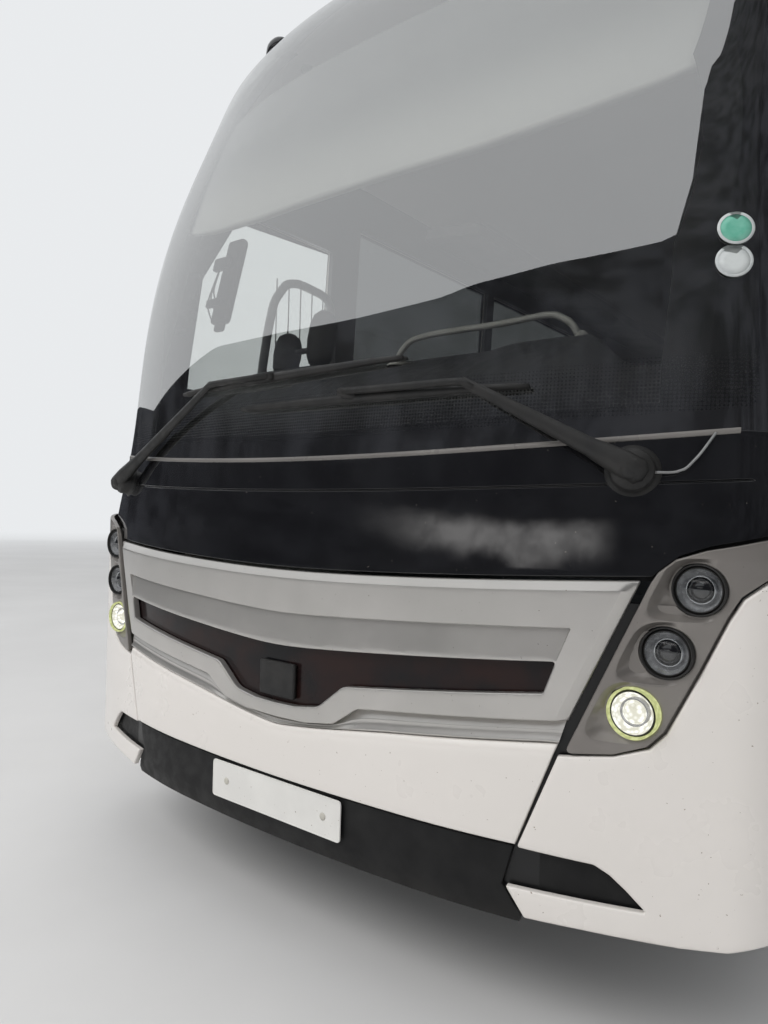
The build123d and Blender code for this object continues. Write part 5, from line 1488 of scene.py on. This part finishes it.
header = swept("sign_housing", "header_moulding", 90, HEADER, header_place, upper=True)
header.modifiers.new("thickness", "SOLIDIFY").thickness = 0.003
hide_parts("screen_header")
WHEEL_MIDDLE, WHEEL_AXIS = Vector((-0.65, -5.22, 1.56)), Vector((0, 0.5, 0.866))
grip = [(0.225 + 0.0155 * cos(radians(a)), 0.0155 * sin(radians(a))) for a in range(0, 361, 30)]
wheel = turned("wheel_grip", grip, WHEEL_MIDDLE, "dash_moulding", 64, facing=WHEEL_AXIS)
turned("wheel_boss", [(0.0, 0.022), (0.045, 0.020), (0.062, 0.012), (0.068, -0.004), (0.060, -0.022), (0.0, -0.030)],
       WHEEL_MIDDLE, "dash_moulding", 40, facing=WHEEL_AXIS)
SPOKE = ((0.05, 0.026), (0.12, 0.018), (0.215, 0.014))
for number, angle in enumerate((20, 160, 270), 1):
    across, along = Vector((1, 0, 0)), WHEEL_AXIS.cross(Vector((1, 0, 0)))
    reach = across * cos(radians(angle)) + along * sin(radians(angle))
    run = [(WHEEL_MIDDLE + reach * r - WHEEL_AXIS * 0.004, w) for r, w in SPOKE]
    bar(f"wheel_spoke_{number}", run, "dash_moulding", flat=0.45, across=WHEEL_AXIS)
bar("wheel_column", [(WHEEL_MIDDLE - WHEEL_AXIS * 0.02, 0.026), (Vector((-0.65, -5.36, 1.32)), 0.030)],
    "dash_moulding", sides=20)
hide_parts("steering_wheel")
print("cab furnished")

# %% [markdown]
# ## Padded seats
# Each seat is a foam cushion and back in a moquette cover over a plastic shell. The
# cover is sewn in channels. A pad is made as a closed grid, blown up a little by a cloth
# simulation so that its faces crown and its sides pull in between the corners, and then
# drawn in along its seams. One cushion and one back are simulated and used in every row.

# %% Sew and inflate the pads
cover = Finish("moquette")
fleck = cover.span(cover.noise(38, 2, 0.4), 0.52, 0.60)
tone = cover.mix(cover.span(cover.noise(260, 2), 0.35, 0.65), (0.020, 0.026, 0.050), (0.038, 0.046, 0.075))
tone = cover.mix(cover.maths("MULTIPLY", fleck, 0.55), tone, (0.16, 0.035, 0.030))
cover.done(cover.principled(tone, 0.85, cover.bump(cover.cells(420), 0.35), Sheen_Weight=0.35))
surface("seat_leather", (0.030, 0.030, 0.032), (0.044, 0.043, 0.044), 12, (0.38, 0.5), (700, 0.3))
surface("seat_shell", (0.055, 0.057, 0.060), (0.075, 0.076, 0.080), 6, (0.5, 0.62), (1400, 0.2))


def lines_across(half, step, seams, press=0.009):
    """Grid lines from -half to half, with a close group of three at every seam."""
    fixed = sorted({-half, half, *(s + d for s in seams for d in (-press, 0.0, press))})
    found = []
    for a, b in zip(fixed, fixed[1:]):
        count = max(1, round((b - a) / step))
        found += [a + (b - a) * k / count for k in range(count)]
    return found + [half]


def pad_grid(size, step, seams_x, seams_y):
    """A closed pad: wide in X, long in Y and thick in Z, with its middle at the origin."""
    wide, long, thick = size
    xs, ys = lines_across(wide / 2, step, seams_x), lines_across(long / 2, step, seams_y)
    zs = [-thick / 2, -thick / 6, thick / 6, thick / 2]
    index, points, faces = {}, [], []

    def at(x, y, z):
        key = (round(x, 5), round(y, 5), round(z, 5))
        if key not in index:
            index[key] = len(points)
            points.append(Vector((x, y, z)))
        return index[key]

    for z, flip in ((zs[-1], False), (zs[0], True)):
        for x0, x1 in zip(xs, xs[1:]):
            for y0, y1 in zip(ys, ys[1:]):
                face = [at(x0, y0, z), at(x1, y0, z), at(x1, y1, z), at(x0, y1, z)]
                faces.append(face[::-1] if flip else face)
    for lines, fixed, swap in ((xs, ys[0], False), (xs, ys[-1], True), (ys, xs[-1], False), (ys, xs[0], True)):
        for a, b in zip(lines, lines[1:]):
            for z0, z1 in zip(zs, zs[1:]):
                if lines is xs:
                    face = [at(a, fixed, z0), at(b, fixed, z0), at(b, fixed, z1), at(a, fixed, z1)]
                else:
                    face = [at(fixed, a, z0), at(fixed, b, z0), at(fixed, b, z1), at(fixed, a, z1)]
                faces.append(face[::-1] if swap else face)
    return points, faces


def inflated(points, faces, most):
    """The same points after a short cloth simulation under inner pressure, moved by at most so much."""
    mesh = bpy.data.meshes.new("pad_trial")
    mesh.from_pydata([tuple(p) for p in points], [], faces)
    trial = bpy.data.objects.new("pad_trial", mesh)
    bpy.context.scene.collection.objects.link(trial)
    cloth = trial.modifiers.new("cloth", "CLOTH")
    cloth.settings.use_pressure = True
    cloth.settings.uniform_pressure_force = 4
    cloth.settings.effector_weights.gravity = 0
    cloth.settings.quality = 5
    for step in range(1, 21):
        bpy.context.scene.frame_set(step)
    seen = trial.evaluated_get(bpy.context.evaluated_depsgraph_get())
    moved = []
    for before, vertex in zip(points, seen.data.vertices):
        shift = vertex.co - before
        moved.append(before + shift * min(1.0, most / max(shift.length, 1e-9)))
    bpy.data.objects.remove(trial)
    bpy.data.meshes.remove(mesh)
    bpy.context.scene.frame_set(1)
    return moved


def sewn_pad(size, step, seams_x, seams_y, most, press=0.008, bow=0.0):
    points, faces = pad_grid(size, step, seams_x, seams_y)
    flat = list(points)
    shaped = inflated(points, faces, most)
    for i, (before, p) in enumerate(zip(flat, shaped)):
        for seams, value, half in ((seams_x, before.x, size[0] / 2), (seams_y, before.y, size[1] / 2)):
            if any(abs(value - s) < 0.0005 for s in seams) and abs(before.z) > 0.3 * size[2]:
                p.z -= press * (1 if before.z > 0 else -0.3)
        p.z += bow * (2 * before.x / size[0]) ** 2
        if abs(before.x) > size[0] / 2 - 0.001 and abs(before.y) > size[1] / 2 - 0.001:
            p.x, p.y = p.x * 0.965, p.y * 0.975
    return shaped, faces


SEAT_STEP = 0.030
CUSHION_SIZE, BACK_SIZE = (0.405, 0.390, 0.095), (0.405, 0.640, 0.075)
BACK_LEAN = radians(12.5)
CUSHION = sewn_pad(CUSHION_SIZE, SEAT_STEP, (-0.13, 0.13), (0.06,), 0.018, bow=0.014)
BACK = sewn_pad(BACK_SIZE, SEAT_STEP, (-0.13, 0.13), (-0.12, 0.10, 0.19), 0.018, bow=0.016)
print("pads:", len(CUSHION[1]), len(BACK[1]), "faces")

# %% Set the seats in their rows
def placed_pads(name, pad, places, finish):
    """Copies of a pad at several places, as one padded piece."""
    points, faces = [], []
    for place in places:
        base = len(points)
        points += [place @ p for p in pad[0]]
        faces += [[base + i for i in face] for face in pad[1]]
    made = mesh_object(name, points, faces, finish)
    return made


def seat_places(x, front, deck):
    """Where a cushion and a back go for a seat whose front edge is at a Y, over a deck."""
    cushion = Matrix.Translation((x, front + 0.215, deck + 0.402)) @ Matrix.Rotation(radians(2), 4, "X")
    foot = Vector((x, front + 0.440, deck + 0.470))
    rise = Matrix.Rotation(pi / 2 - BACK_LEAN, 4, "X")
    back = Matrix.Translation(foot) @ rise @ Matrix.Translation((0, 0.310, 0))
    return cushion, back


SEAT_ROWS = [NOSE_Y + 2.5 + 0.79 * row for row in range(11)]
SEAT_XS = ((0.472, 0.893), (-0.472, -0.893))
shell_boxes, trim_boxes = [], []
first_pad = None
for row, front in enumerate(SEAT_ROWS, 1):
    for side, xs in zip(("left", "right"), SEAT_XS):
        places = [seat_places(x, front, 1.30) for x in xs]
        pads = placed_pads(f"cushions_{side}_{row:02d}", CUSHION, [p[0] for p in places], "moquette")
        placed_pads(f"backs_{side}_{row:02d}", BACK, [p[1] for p in places], "moquette")
        first_pad = first_pad or pads
        mid = sum(xs) / 2
        hand = 1 if mid > 0 else -1
        shell_boxes += [((x - 0.198, front + 0.500, 1.76), (x + 0.198, front + 0.522, 2.395), -12.5) for x in xs]
        shell_boxes += [((mid - 0.41, front + 0.03, 1.618), (mid + 0.41, front + 0.43, 1.650), 2)]
        trim_boxes += [((mid - 0.36 + d, front + 0.115, 1.305), (mid - 0.33 + d, front + 0.185, 1.62), 0)
                       for d in (0, 0.69)]
        trim_boxes += [((mid - 0.36, front + 0.115, 1.300), (mid + 0.36, front + 0.185, 1.318), 0)]
        aisle = sorted((hand * 0.262, hand * 0.284))
        trim_boxes += [((aisle[0], front + 0.14, 1.86), (aisle[1], front + 0.43, 1.90), 4)]
blocks("seat_backs_shell", "seat_shell", shell_boxes, bevel=0.009)
blocks("seat_legs", "seat_shell", trim_boxes, bevel=0.006)
driver_places = seat_places(-0.65, NOSE_Y + 1.33, 0.90)
placed_pads("driver_cushion", CUSHION, [driver_places[0] @ Matrix.Scale(1.15, 4, (1, 0, 0))], "seat_leather")
placed_pads("driver_back", BACK, [driver_places[1] @ Matrix.Scale(1.1, 4, (1, 0, 0))], "seat_leather")
blocks("driver_seat_base", "seat_shell", [
    ((-0.85, -4.80, 1.21), (-0.45, -4.40, 1.25), 2), ((-0.80, -4.72, 0.905), (-0.50, -4.48, 1.22), 0),
    ((-0.85, -4.325, 1.36), (-0.45, -4.302, 2.00), -12.5)], bevel=0.012)
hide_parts("seats")
print("seats set:", 2 * len(SEAT_ROWS), "doubles and the driver's")

# %% [markdown]
# ## Tyres and wheels
# A coach tyre has rounded shoulders, moulded rings on its side wall and a tread of ribs
# cut by grooves and narrow slits. It is turned as a fine ring whose profile dips at each
# groove, and every few steps the outer ribs dip too. The disc wheels keep their CAD
# shape and gain a ring of nuts on washers and a pressed hub cover.

# %% Mould the tyres
TYRE_HALF = (
    # distance from the tyre's middle and radius, from the crown to the bead
    (0.0, 0.5215), (0.022, 0.5215), (0.025, 0.5100), (0.033, 0.5100), (0.036, 0.5212), (0.074, 0.5205),
    (0.077, 0.5095),
    (0.085, 0.5095), (0.088, 0.5195), (0.103, 0.5180), (0.118, 0.5110), (0.125, 0.5040), (0.130, 0.4900),
    (0.1305, 0.4840),
    (0.1345, 0.4820), (0.139, 0.4600), (0.1430, 0.4360), (0.1455, 0.4340), (0.1468, 0.4100), (0.1455, 0.3850),
    (0.1475, 0.3830),
    (0.1440, 0.3600), (0.1340, 0.3300), (0.1220, 0.3120), (0.1250, 0.3080), (0.1180, 0.2990), (0.1050, 0.2925),
)
TYRE_STEPS = 144
WHEELS = (
    # CAD node, body, hand, middles of its tyres along X, face that the nuts sit on, end of the hub
    ("tyre_front_left", "wheel_front_left", 1, (1.085,), 1.155, 1.210),
    ("tyre_front_right", "wheel_front_right", -1, (1.085,), 1.155, 1.210),
    ("tyres_rear_left", "wheels_rear_left", 1, (1.085, 0.750), 1.003, 1.1125),
    ("tyres_rear_right", "wheels_rear_right", -1, (1.085, 0.750), 1.003, 1.1125),
)


def tyre_ring(x_middle, centre):
    """Points and faces of one tyre; slits cross the outer ribs at every fourth step."""
    half = [(a, r, k) for k, (a, r) in enumerate(TYRE_HALF)]
    profile = [(-a, r, k) for a, r, k in half[:0:-1]] + half
    points = []
    for i in range(TYRE_STEPS):
        turn = 2 * pi * i / TYRE_STEPS
        for a, r, k in profile:
            slit = 0.0075 if i % 4 == 0 and 8 <= k <= 10 else (0.004 if i % 4 == 2 and k in (0, 1, 4, 5) else 0.0)
            points.append(Vector((x_middle + a, centre.y + (r - slit) * sin(turn),
                centre.z + (r - slit) * cos(turn))))
    return points, grid_faces(TYRE_STEPS, len(profile), closed=True, flip=True)


def joined(parts):
    """Several (points, faces) as one."""
    points, faces = [], []
    for more_points, more_faces in parts:
        base = len(points)
        points += more_points
        faces += [[base + i for i in face] for face in more_faces]
    return points, faces


NUT = [(0.0, 0.026), (0.011, 0.026), (0.0155, 0.0235), (0.0155, 0.004)]
WASHER = [(0.015, 0.0045), (0.0215, 0.004), (0.0225, 0.0), (0.0225, -0.001)]
HUB_COVER = [(0.0, 0.0075), (0.020, 0.007), (0.024, 0.0045), (0.046, 0.0035), (0.060, 0.001), (0.0705, -0.005),
             (0.0720, -0.016)]
surface("nut_steel", (0.30, 0.30, 0.295), (0.20, 0.195, 0.19), 60, (0.3, 0.45), (900, 0.1), Metallic=0.8)
for node, body, hand, middles, face_x, hub_x in WHEELS:
    low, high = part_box(node)
    centre, outward = (low + high) / 2, Vector((hand, 0, 0))
    tread = mesh_object(f"{node}_tread", *joined([tyre_ring(hand * x, centre) for x in middles]), "tyre_rubber", body)
    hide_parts(node)
    nuts = []
    for number in range(10):
        turn = 2 * pi * (number + 0.5) / 10
        at = Vector((hand * face_x, centre.y + 0.1675 * sin(turn), centre.z + 0.1675 * cos(turn)))
        nuts += [turned_shape(NUT, at, 6, outward), turned_shape(WASHER, at, 20, outward)]
    mesh_object(f"{body}_nuts", *joined(nuts), "nut_steel", body, smooth=False)
    turned(f"{body}_hub_cover", HUB_COVER, (hand * hub_x, centre.y, centre.z), "wheel_paint", 48, body, outward)
    stem_at = Vector((hand * (face_x + 0.012), centre.y, centre.z + 0.245))
    stem_end = stem_at + outward * 0.035 + Vector((0, 0, -0.012))
    bar(f"{body}_valve", [(stem_at, 0.005), (stem_end, 0.0045)], "satin_black", body)
print("wheels dressed:", len(WHEELS))

# %% [markdown]
# ## Sides, doors and tail
# The long sides are plain, so small fittings give them their scale: dark lips round the
# wheel arches, side lamps, recessed latches on the luggage doors, flaps with dark seams and
# a handle on the passenger door. They are thin, because a coach is built to its full
# legal width. The tail has latches on the engine door and lamps behind it.

# %% Fit the side details
surface("amber_lens", (0.75, 0.25, 0.015), (0.62, 0.18, 0.010), 60, (0.08, 0.14), (90, 0.3), Coat_Weight=1.0)
surface("latch_black", (0.016, 0.016, 0.017), (0.024, 0.024, 0.024), 30, (0.35, 0.45), (1200, 0.15))
SIDE_X = 1.2750


def flush(name, finish, hand, boxes, body="body", bevel=0.002):
    """Thin plates on the lower side: each is y and height of two corners and how proud it stands."""
    made = []
    for y0, z0, y1, z1, proud in boxes:
        x0, x1 = sorted((hand * (SIDE_X - 0.006), hand * (SIDE_X + proud)))
        made.append(((x0, y0, z0), (x1, y1, z1), 0))
    return blocks(name, finish, made, body, bevel)


def arch_lip(name, hand, axle_y):
    """A rubber lip round a wheel arch, from the skirt's foot over the top and down."""
    points = []
    start, steps = asin((0.522 - 0.345) / 0.6), 48
    profile = ((0.598, 0.030), (0.598, -0.0008), (0.603, -0.0010), (0.622, -0.0010), (0.6255, 0.002))
    for i in range(steps + 1):
        turn = -start + (pi + 2 * start) * i / steps
        for radius, inwards in profile:
            points.append((hand * (SIDE_X - inwards), axle_y + radius * cos(turn), 0.522 + radius * sin(turn)))
    return mesh_object(name, points, grid_faces(steps + 1, len(profile)), "latch_black", smooth=False)


FRONT_AXLE_Y, REAR_AXLE_Y = -3.40, 2.70
for side, hand in HANDS:
    for place, axle_y in (("front", FRONT_AXLE_Y), ("rear", REAR_AXLE_Y)):
        arch_lip(f"arch_lip_{place}_{side}", hand, axle_y)
    lamps_at = (-4.30 if hand < 0 else -4.15, 3.75, 5.05)
    flush(f"side_lamps_{side}", "amber_lens", hand, [(y - 0.045, 0.845, y + 0.045, 0.880, 0.0010) for y in lamps_at])
    beds = [(y - 0.052, 0.838, y + 0.052, 0.887, 0.0004) for y in lamps_at]
    flush(f"side_lamp_beds_{side}", "latch_black", hand, beds)
    for number in (1, 2, 3):
        node = f"locker_{side}_{number}"
        low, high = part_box(node)
        y, z = (low.y + high.y) / 2, low.z + 0.14
        bed = (y - 0.085, z - 0.040, y + 0.085, z + 0.040, 0.0005)
        flush(f"{node}_latch_bed", "latch_black", hand, [bed], node, 0.0015)
        flush(f"{node}_latch", "nut_steel", hand, [(y - 0.070, z - 0.012, y + 0.045, z + 0.014, 0.0010)], node, 0.001)
        flush(f"{node}_lamp", "amber_lens", hand, [(y - 0.045, 0.845, y + 0.045, 0.880, 0.0010)], node)
SEAM = 0.004
FLAPS = (
    # name, hand, then y and height of two corners
    ("fuel_flap", -1, -2.45 - 0.35, 0.60, -2.45 - 0.08, 0.86),
    ("service_flap", 1, 4.20, 0.46, 4.85, 0.80),
    ("battery_flap", -1, 4.20, 0.46, 4.85, 0.80),
)
for name, hand, y0, z0, y1, z1 in FLAPS:
    seams = ((y0, z0, y1, z0 + SEAM), (y0, z1 - SEAM, y1, z1), (y0, z0, y0 + SEAM, z1), (y1 - SEAM, z0, y1, z1))
    flush(f"{name}_seam", "latch_black", hand, [(*seam, 0.0003) for seam in seams], bevel=0)
    middle = (z0 + z1) / 2
    flush(f"{name}_lock", "nut_steel", hand, [(y1 - 0.06, middle - 0.012, y1 - 0.035, middle + 0.012, 0.0008)])
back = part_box("passenger_door")[1].y
flush("door_handle_bed", "latch_black", 1, [(back - 0.16, 0.93, back - 0.05, 1.00, 0.0006)], "passenger_door")
flush("door_handle", "nut_steel", 1, [(back - 0.15, 0.955, back - 0.065, 0.975, 0.0010)], "passenger_door", 0.001)
for number, x in enumerate((-0.62, 0.62), 1):
    latch = ((x - 0.06, 6.1455, 0.615), (x + 0.06, 6.1515, 0.655), 0)
    blocks(f"engine_latch_{number}", "latch_black", [latch], "engine_door", 0.002)
print("side details fitted")

# %% Dress the roof
surface("grille_black", (0.030, 0.030, 0.031), (0.045, 0.044, 0.043), 20, (0.5, 0.65), (900, 0.2))
unit_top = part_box("roof_unit")[1].z
fan_rings, fan_ribs = [], []
for y in (0.45, 1.15, 1.85):
    for x in (-0.34, 0.34):
        at, up = Vector((x, y, unit_top - 0.006)), Vector((0, 0, 1))
        for radius in (0.205, 0.160, 0.115, 0.070):
            wire = [(radius, 0.0), (radius, 0.0068), (radius + 0.006, 0.0068), (radius + 0.006, 0.0)]
            fan_rings.append(turned_shape(wire, at, 48, up))
        fan_rings.append(turned_shape([(0.0, 0.0060), (0.21, 0.0060)], at, 48, up))
        fan_ribs += [((x - a, y - b, at.z), (x + a, y + b, at.z + 0.0068), 0)
                     for a, b in ((0.21, 0.004), (0.004, 0.21))]
mesh_object("fan_grilles", *joined(fan_rings), "grille_black", smooth=False)
blocks("fan_ribs", "grille_black", fan_ribs, bevel=0.001)
hatch_boxes = [((-a, y - b, low), (a, y + b, high), 0) for y in (-2.6, 4.2)
               for a, b, low, high in ((0.36, 0.30, 3.575, 3.618), (0.31, 0.25, 3.60, 3.632))]
blocks("roof_hatches", "roof_paint", hatch_boxes, bevel=0.012)
print("roof dressed")

# %% [markdown]
# ## Plain studio
# The coach stands on a pale floor under soft, even light. Gloss black and glass show
# whatever surrounds them, so a studio for vehicles has dark walls low down and a bright
# ceiling. That ring of wall is seen by reflections only.

# %% Floor, light and surroundings
def stage_object(name, points, faces, material):
    mesh = bpy.data.meshes.new(name)
    mesh.from_pydata(points, [], faces)
    made = bpy.data.objects.new(name, mesh)
    bpy.context.scene.collection.objects.link(made)
    mesh.materials.append(material)
    return made


FLOOR, BACKGROUND, BACKGROUND_LEVEL = 300, (0.96, 0.98, 1.0), 0.85
floor_finish = Finish("floor")
tone = floor_finish.mix(floor_finish.span(floor_finish.noise(0.8, 4), 0.3, 0.7), (0.62, 0.61, 0.60),
    (0.66, 0.65, 0.64))
reach = floor_finish.add("ShaderNodeVectorMath", operation="LENGTH")
floor_finish.link(floor_finish.place, reach.inputs[0])
fade = floor_finish.blend(floor_finish.span(reach.outputs["Value"], 9.0, 34.0), floor_finish.principled(tone, 0.6),
                          floor_finish.emission(BACKGROUND, BACKGROUND_LEVEL))
corners = [(x * FLOOR, y * FLOOR, 0) for x, y in ((-1, -1), (1, -1), (1, 1), (-1, 1))]
stage_object("floor", corners, [(0, 1, 2, 3)], floor_finish.done(fade))

world = bpy.data.worlds.new("studio")
bpy.context.scene.world = world
world.use_nodes = True
sky = world.node_tree.nodes["Background"]
sky.inputs["Color"].default_value = (*BACKGROUND, 1)
sky.inputs["Strength"].default_value = BACKGROUND_LEVEL


def glow_material(name, colour, spread, window=None):
    """A wall with an uneven, weak light of its own; window is (colour, foot, head) of a soft bright patch."""
    finish = Finish(name)
    uneven = finish.span(finish.noise(0.25, 5, 0.6, (1, 1, 2.2)), 0.35, 0.65)
    tone = finish.mix(uneven, colour, tuple(c * spread for c in colour))
    if window:
        bright, foot, head = window
        x, _, z = finish.axes()
        height = finish.maths("ADD", z, finish.maths("MULTIPLY", finish.noise(0.22, 6, 0.6), 3.0))
        rising, falling = finish.span(height, foot, foot + 1.6), finish.span(height, head - 1.6, head, 1.0, 0.0)
        share = finish.maths("MULTIPLY", rising, falling)
        ends = finish.maths("MULTIPLY", finish.span(x, -15.0, -7.0), finish.span(x, 3.2, 7.0, 1.0, 0.0))
        cloud = finish.mix(finish.span(finish.noise(0.5, 6, 0.6), 0.35, 0.65), bright, tuple(c * 1.7 for c in bright))
        tone = finish.mix(finish.maths("MULTIPLY", share, ends), tone, cloud)
    return finish.done(finish.emission(tone))


ring_material = glow_material("studio_wall", (0.020, 0.021, 0.024), 3.2)
gap_material = glow_material("studio_gap", (0.020, 0.021, 0.024), 3.2, ((0.95, 0.93, 0.92), 7.4, 11.4))
RING_RADIUS, RING_STEPS = 26.0, 120
RING_MIDDLE = Vector((0.0, NOSE_Y, 1.6))
RING_TOPS = (
    # direction from straight ahead towards the coach's left, and the wall's height, in degrees
    (-180, 8), (-120, 7), (-90, 9.9), (-77, 13.6), (-64, 17.5), (-51, 20.6), (-40, 22.9), (-19, 28), (-1, 30.6),
    (22, 32.2),
    (25.5, 33.5), (27.6, 44.7), (30.6, 59.7), (60, 68), (110, 66), (150, 30), (180, 8),
)


def ring_wall(name, radius, from_turn, to_turn, steps, foot, material):
    """A strip of wall round the coach's nose between two directions, seen only in reflections."""
    points = []
    for i in range(steps + 1):
        turn = from_turn + (to_turn - from_turn) * i / steps
        x, y = RING_MIDDLE.x + radius * sin(radians(turn)), RING_MIDDLE.y - radius * cos(radians(turn))
        for height in (foot, interpolated(RING_TOPS, turn)):
            points.append((x, y, max(0.0, RING_MIDDLE.z + radius * tan(radians(height)))))
    faces = [(2 * i, 2 * i + 2, 2 * i + 3, 2 * i + 1) for i in range(steps)]
    made = stage_object(name, points, faces, material)
    made.visible_camera = made.visible_diffuse = made.visible_shadow = made.visible_transmission = False
    return made


ring_wall("studio_wall", RING_RADIUS, -180, 180, RING_STEPS, -10.0, ring_material)
ring_wall("studio_gap", RING_RADIUS - 2, -42, 22, 20, 1.0, gap_material)

key = bpy.data.objects.new("key_light", bpy.data.lights.new("key_light", "AREA"))
key.data.energy, key.data.size, key.data.size_y = 900, 9, 6
key.data.shape = "RECTANGLE"
key.location = (-3, -15, 10)
key.rotation_euler = (Vector((0, -5, 1.5)) - key.location).to_track_quat("-Z", "Y").to_euler()
key.visible_glossy = False
bpy.context.scene.collection.objects.link(key)
bpy.context.scene.view_settings.view_transform = "Standard"
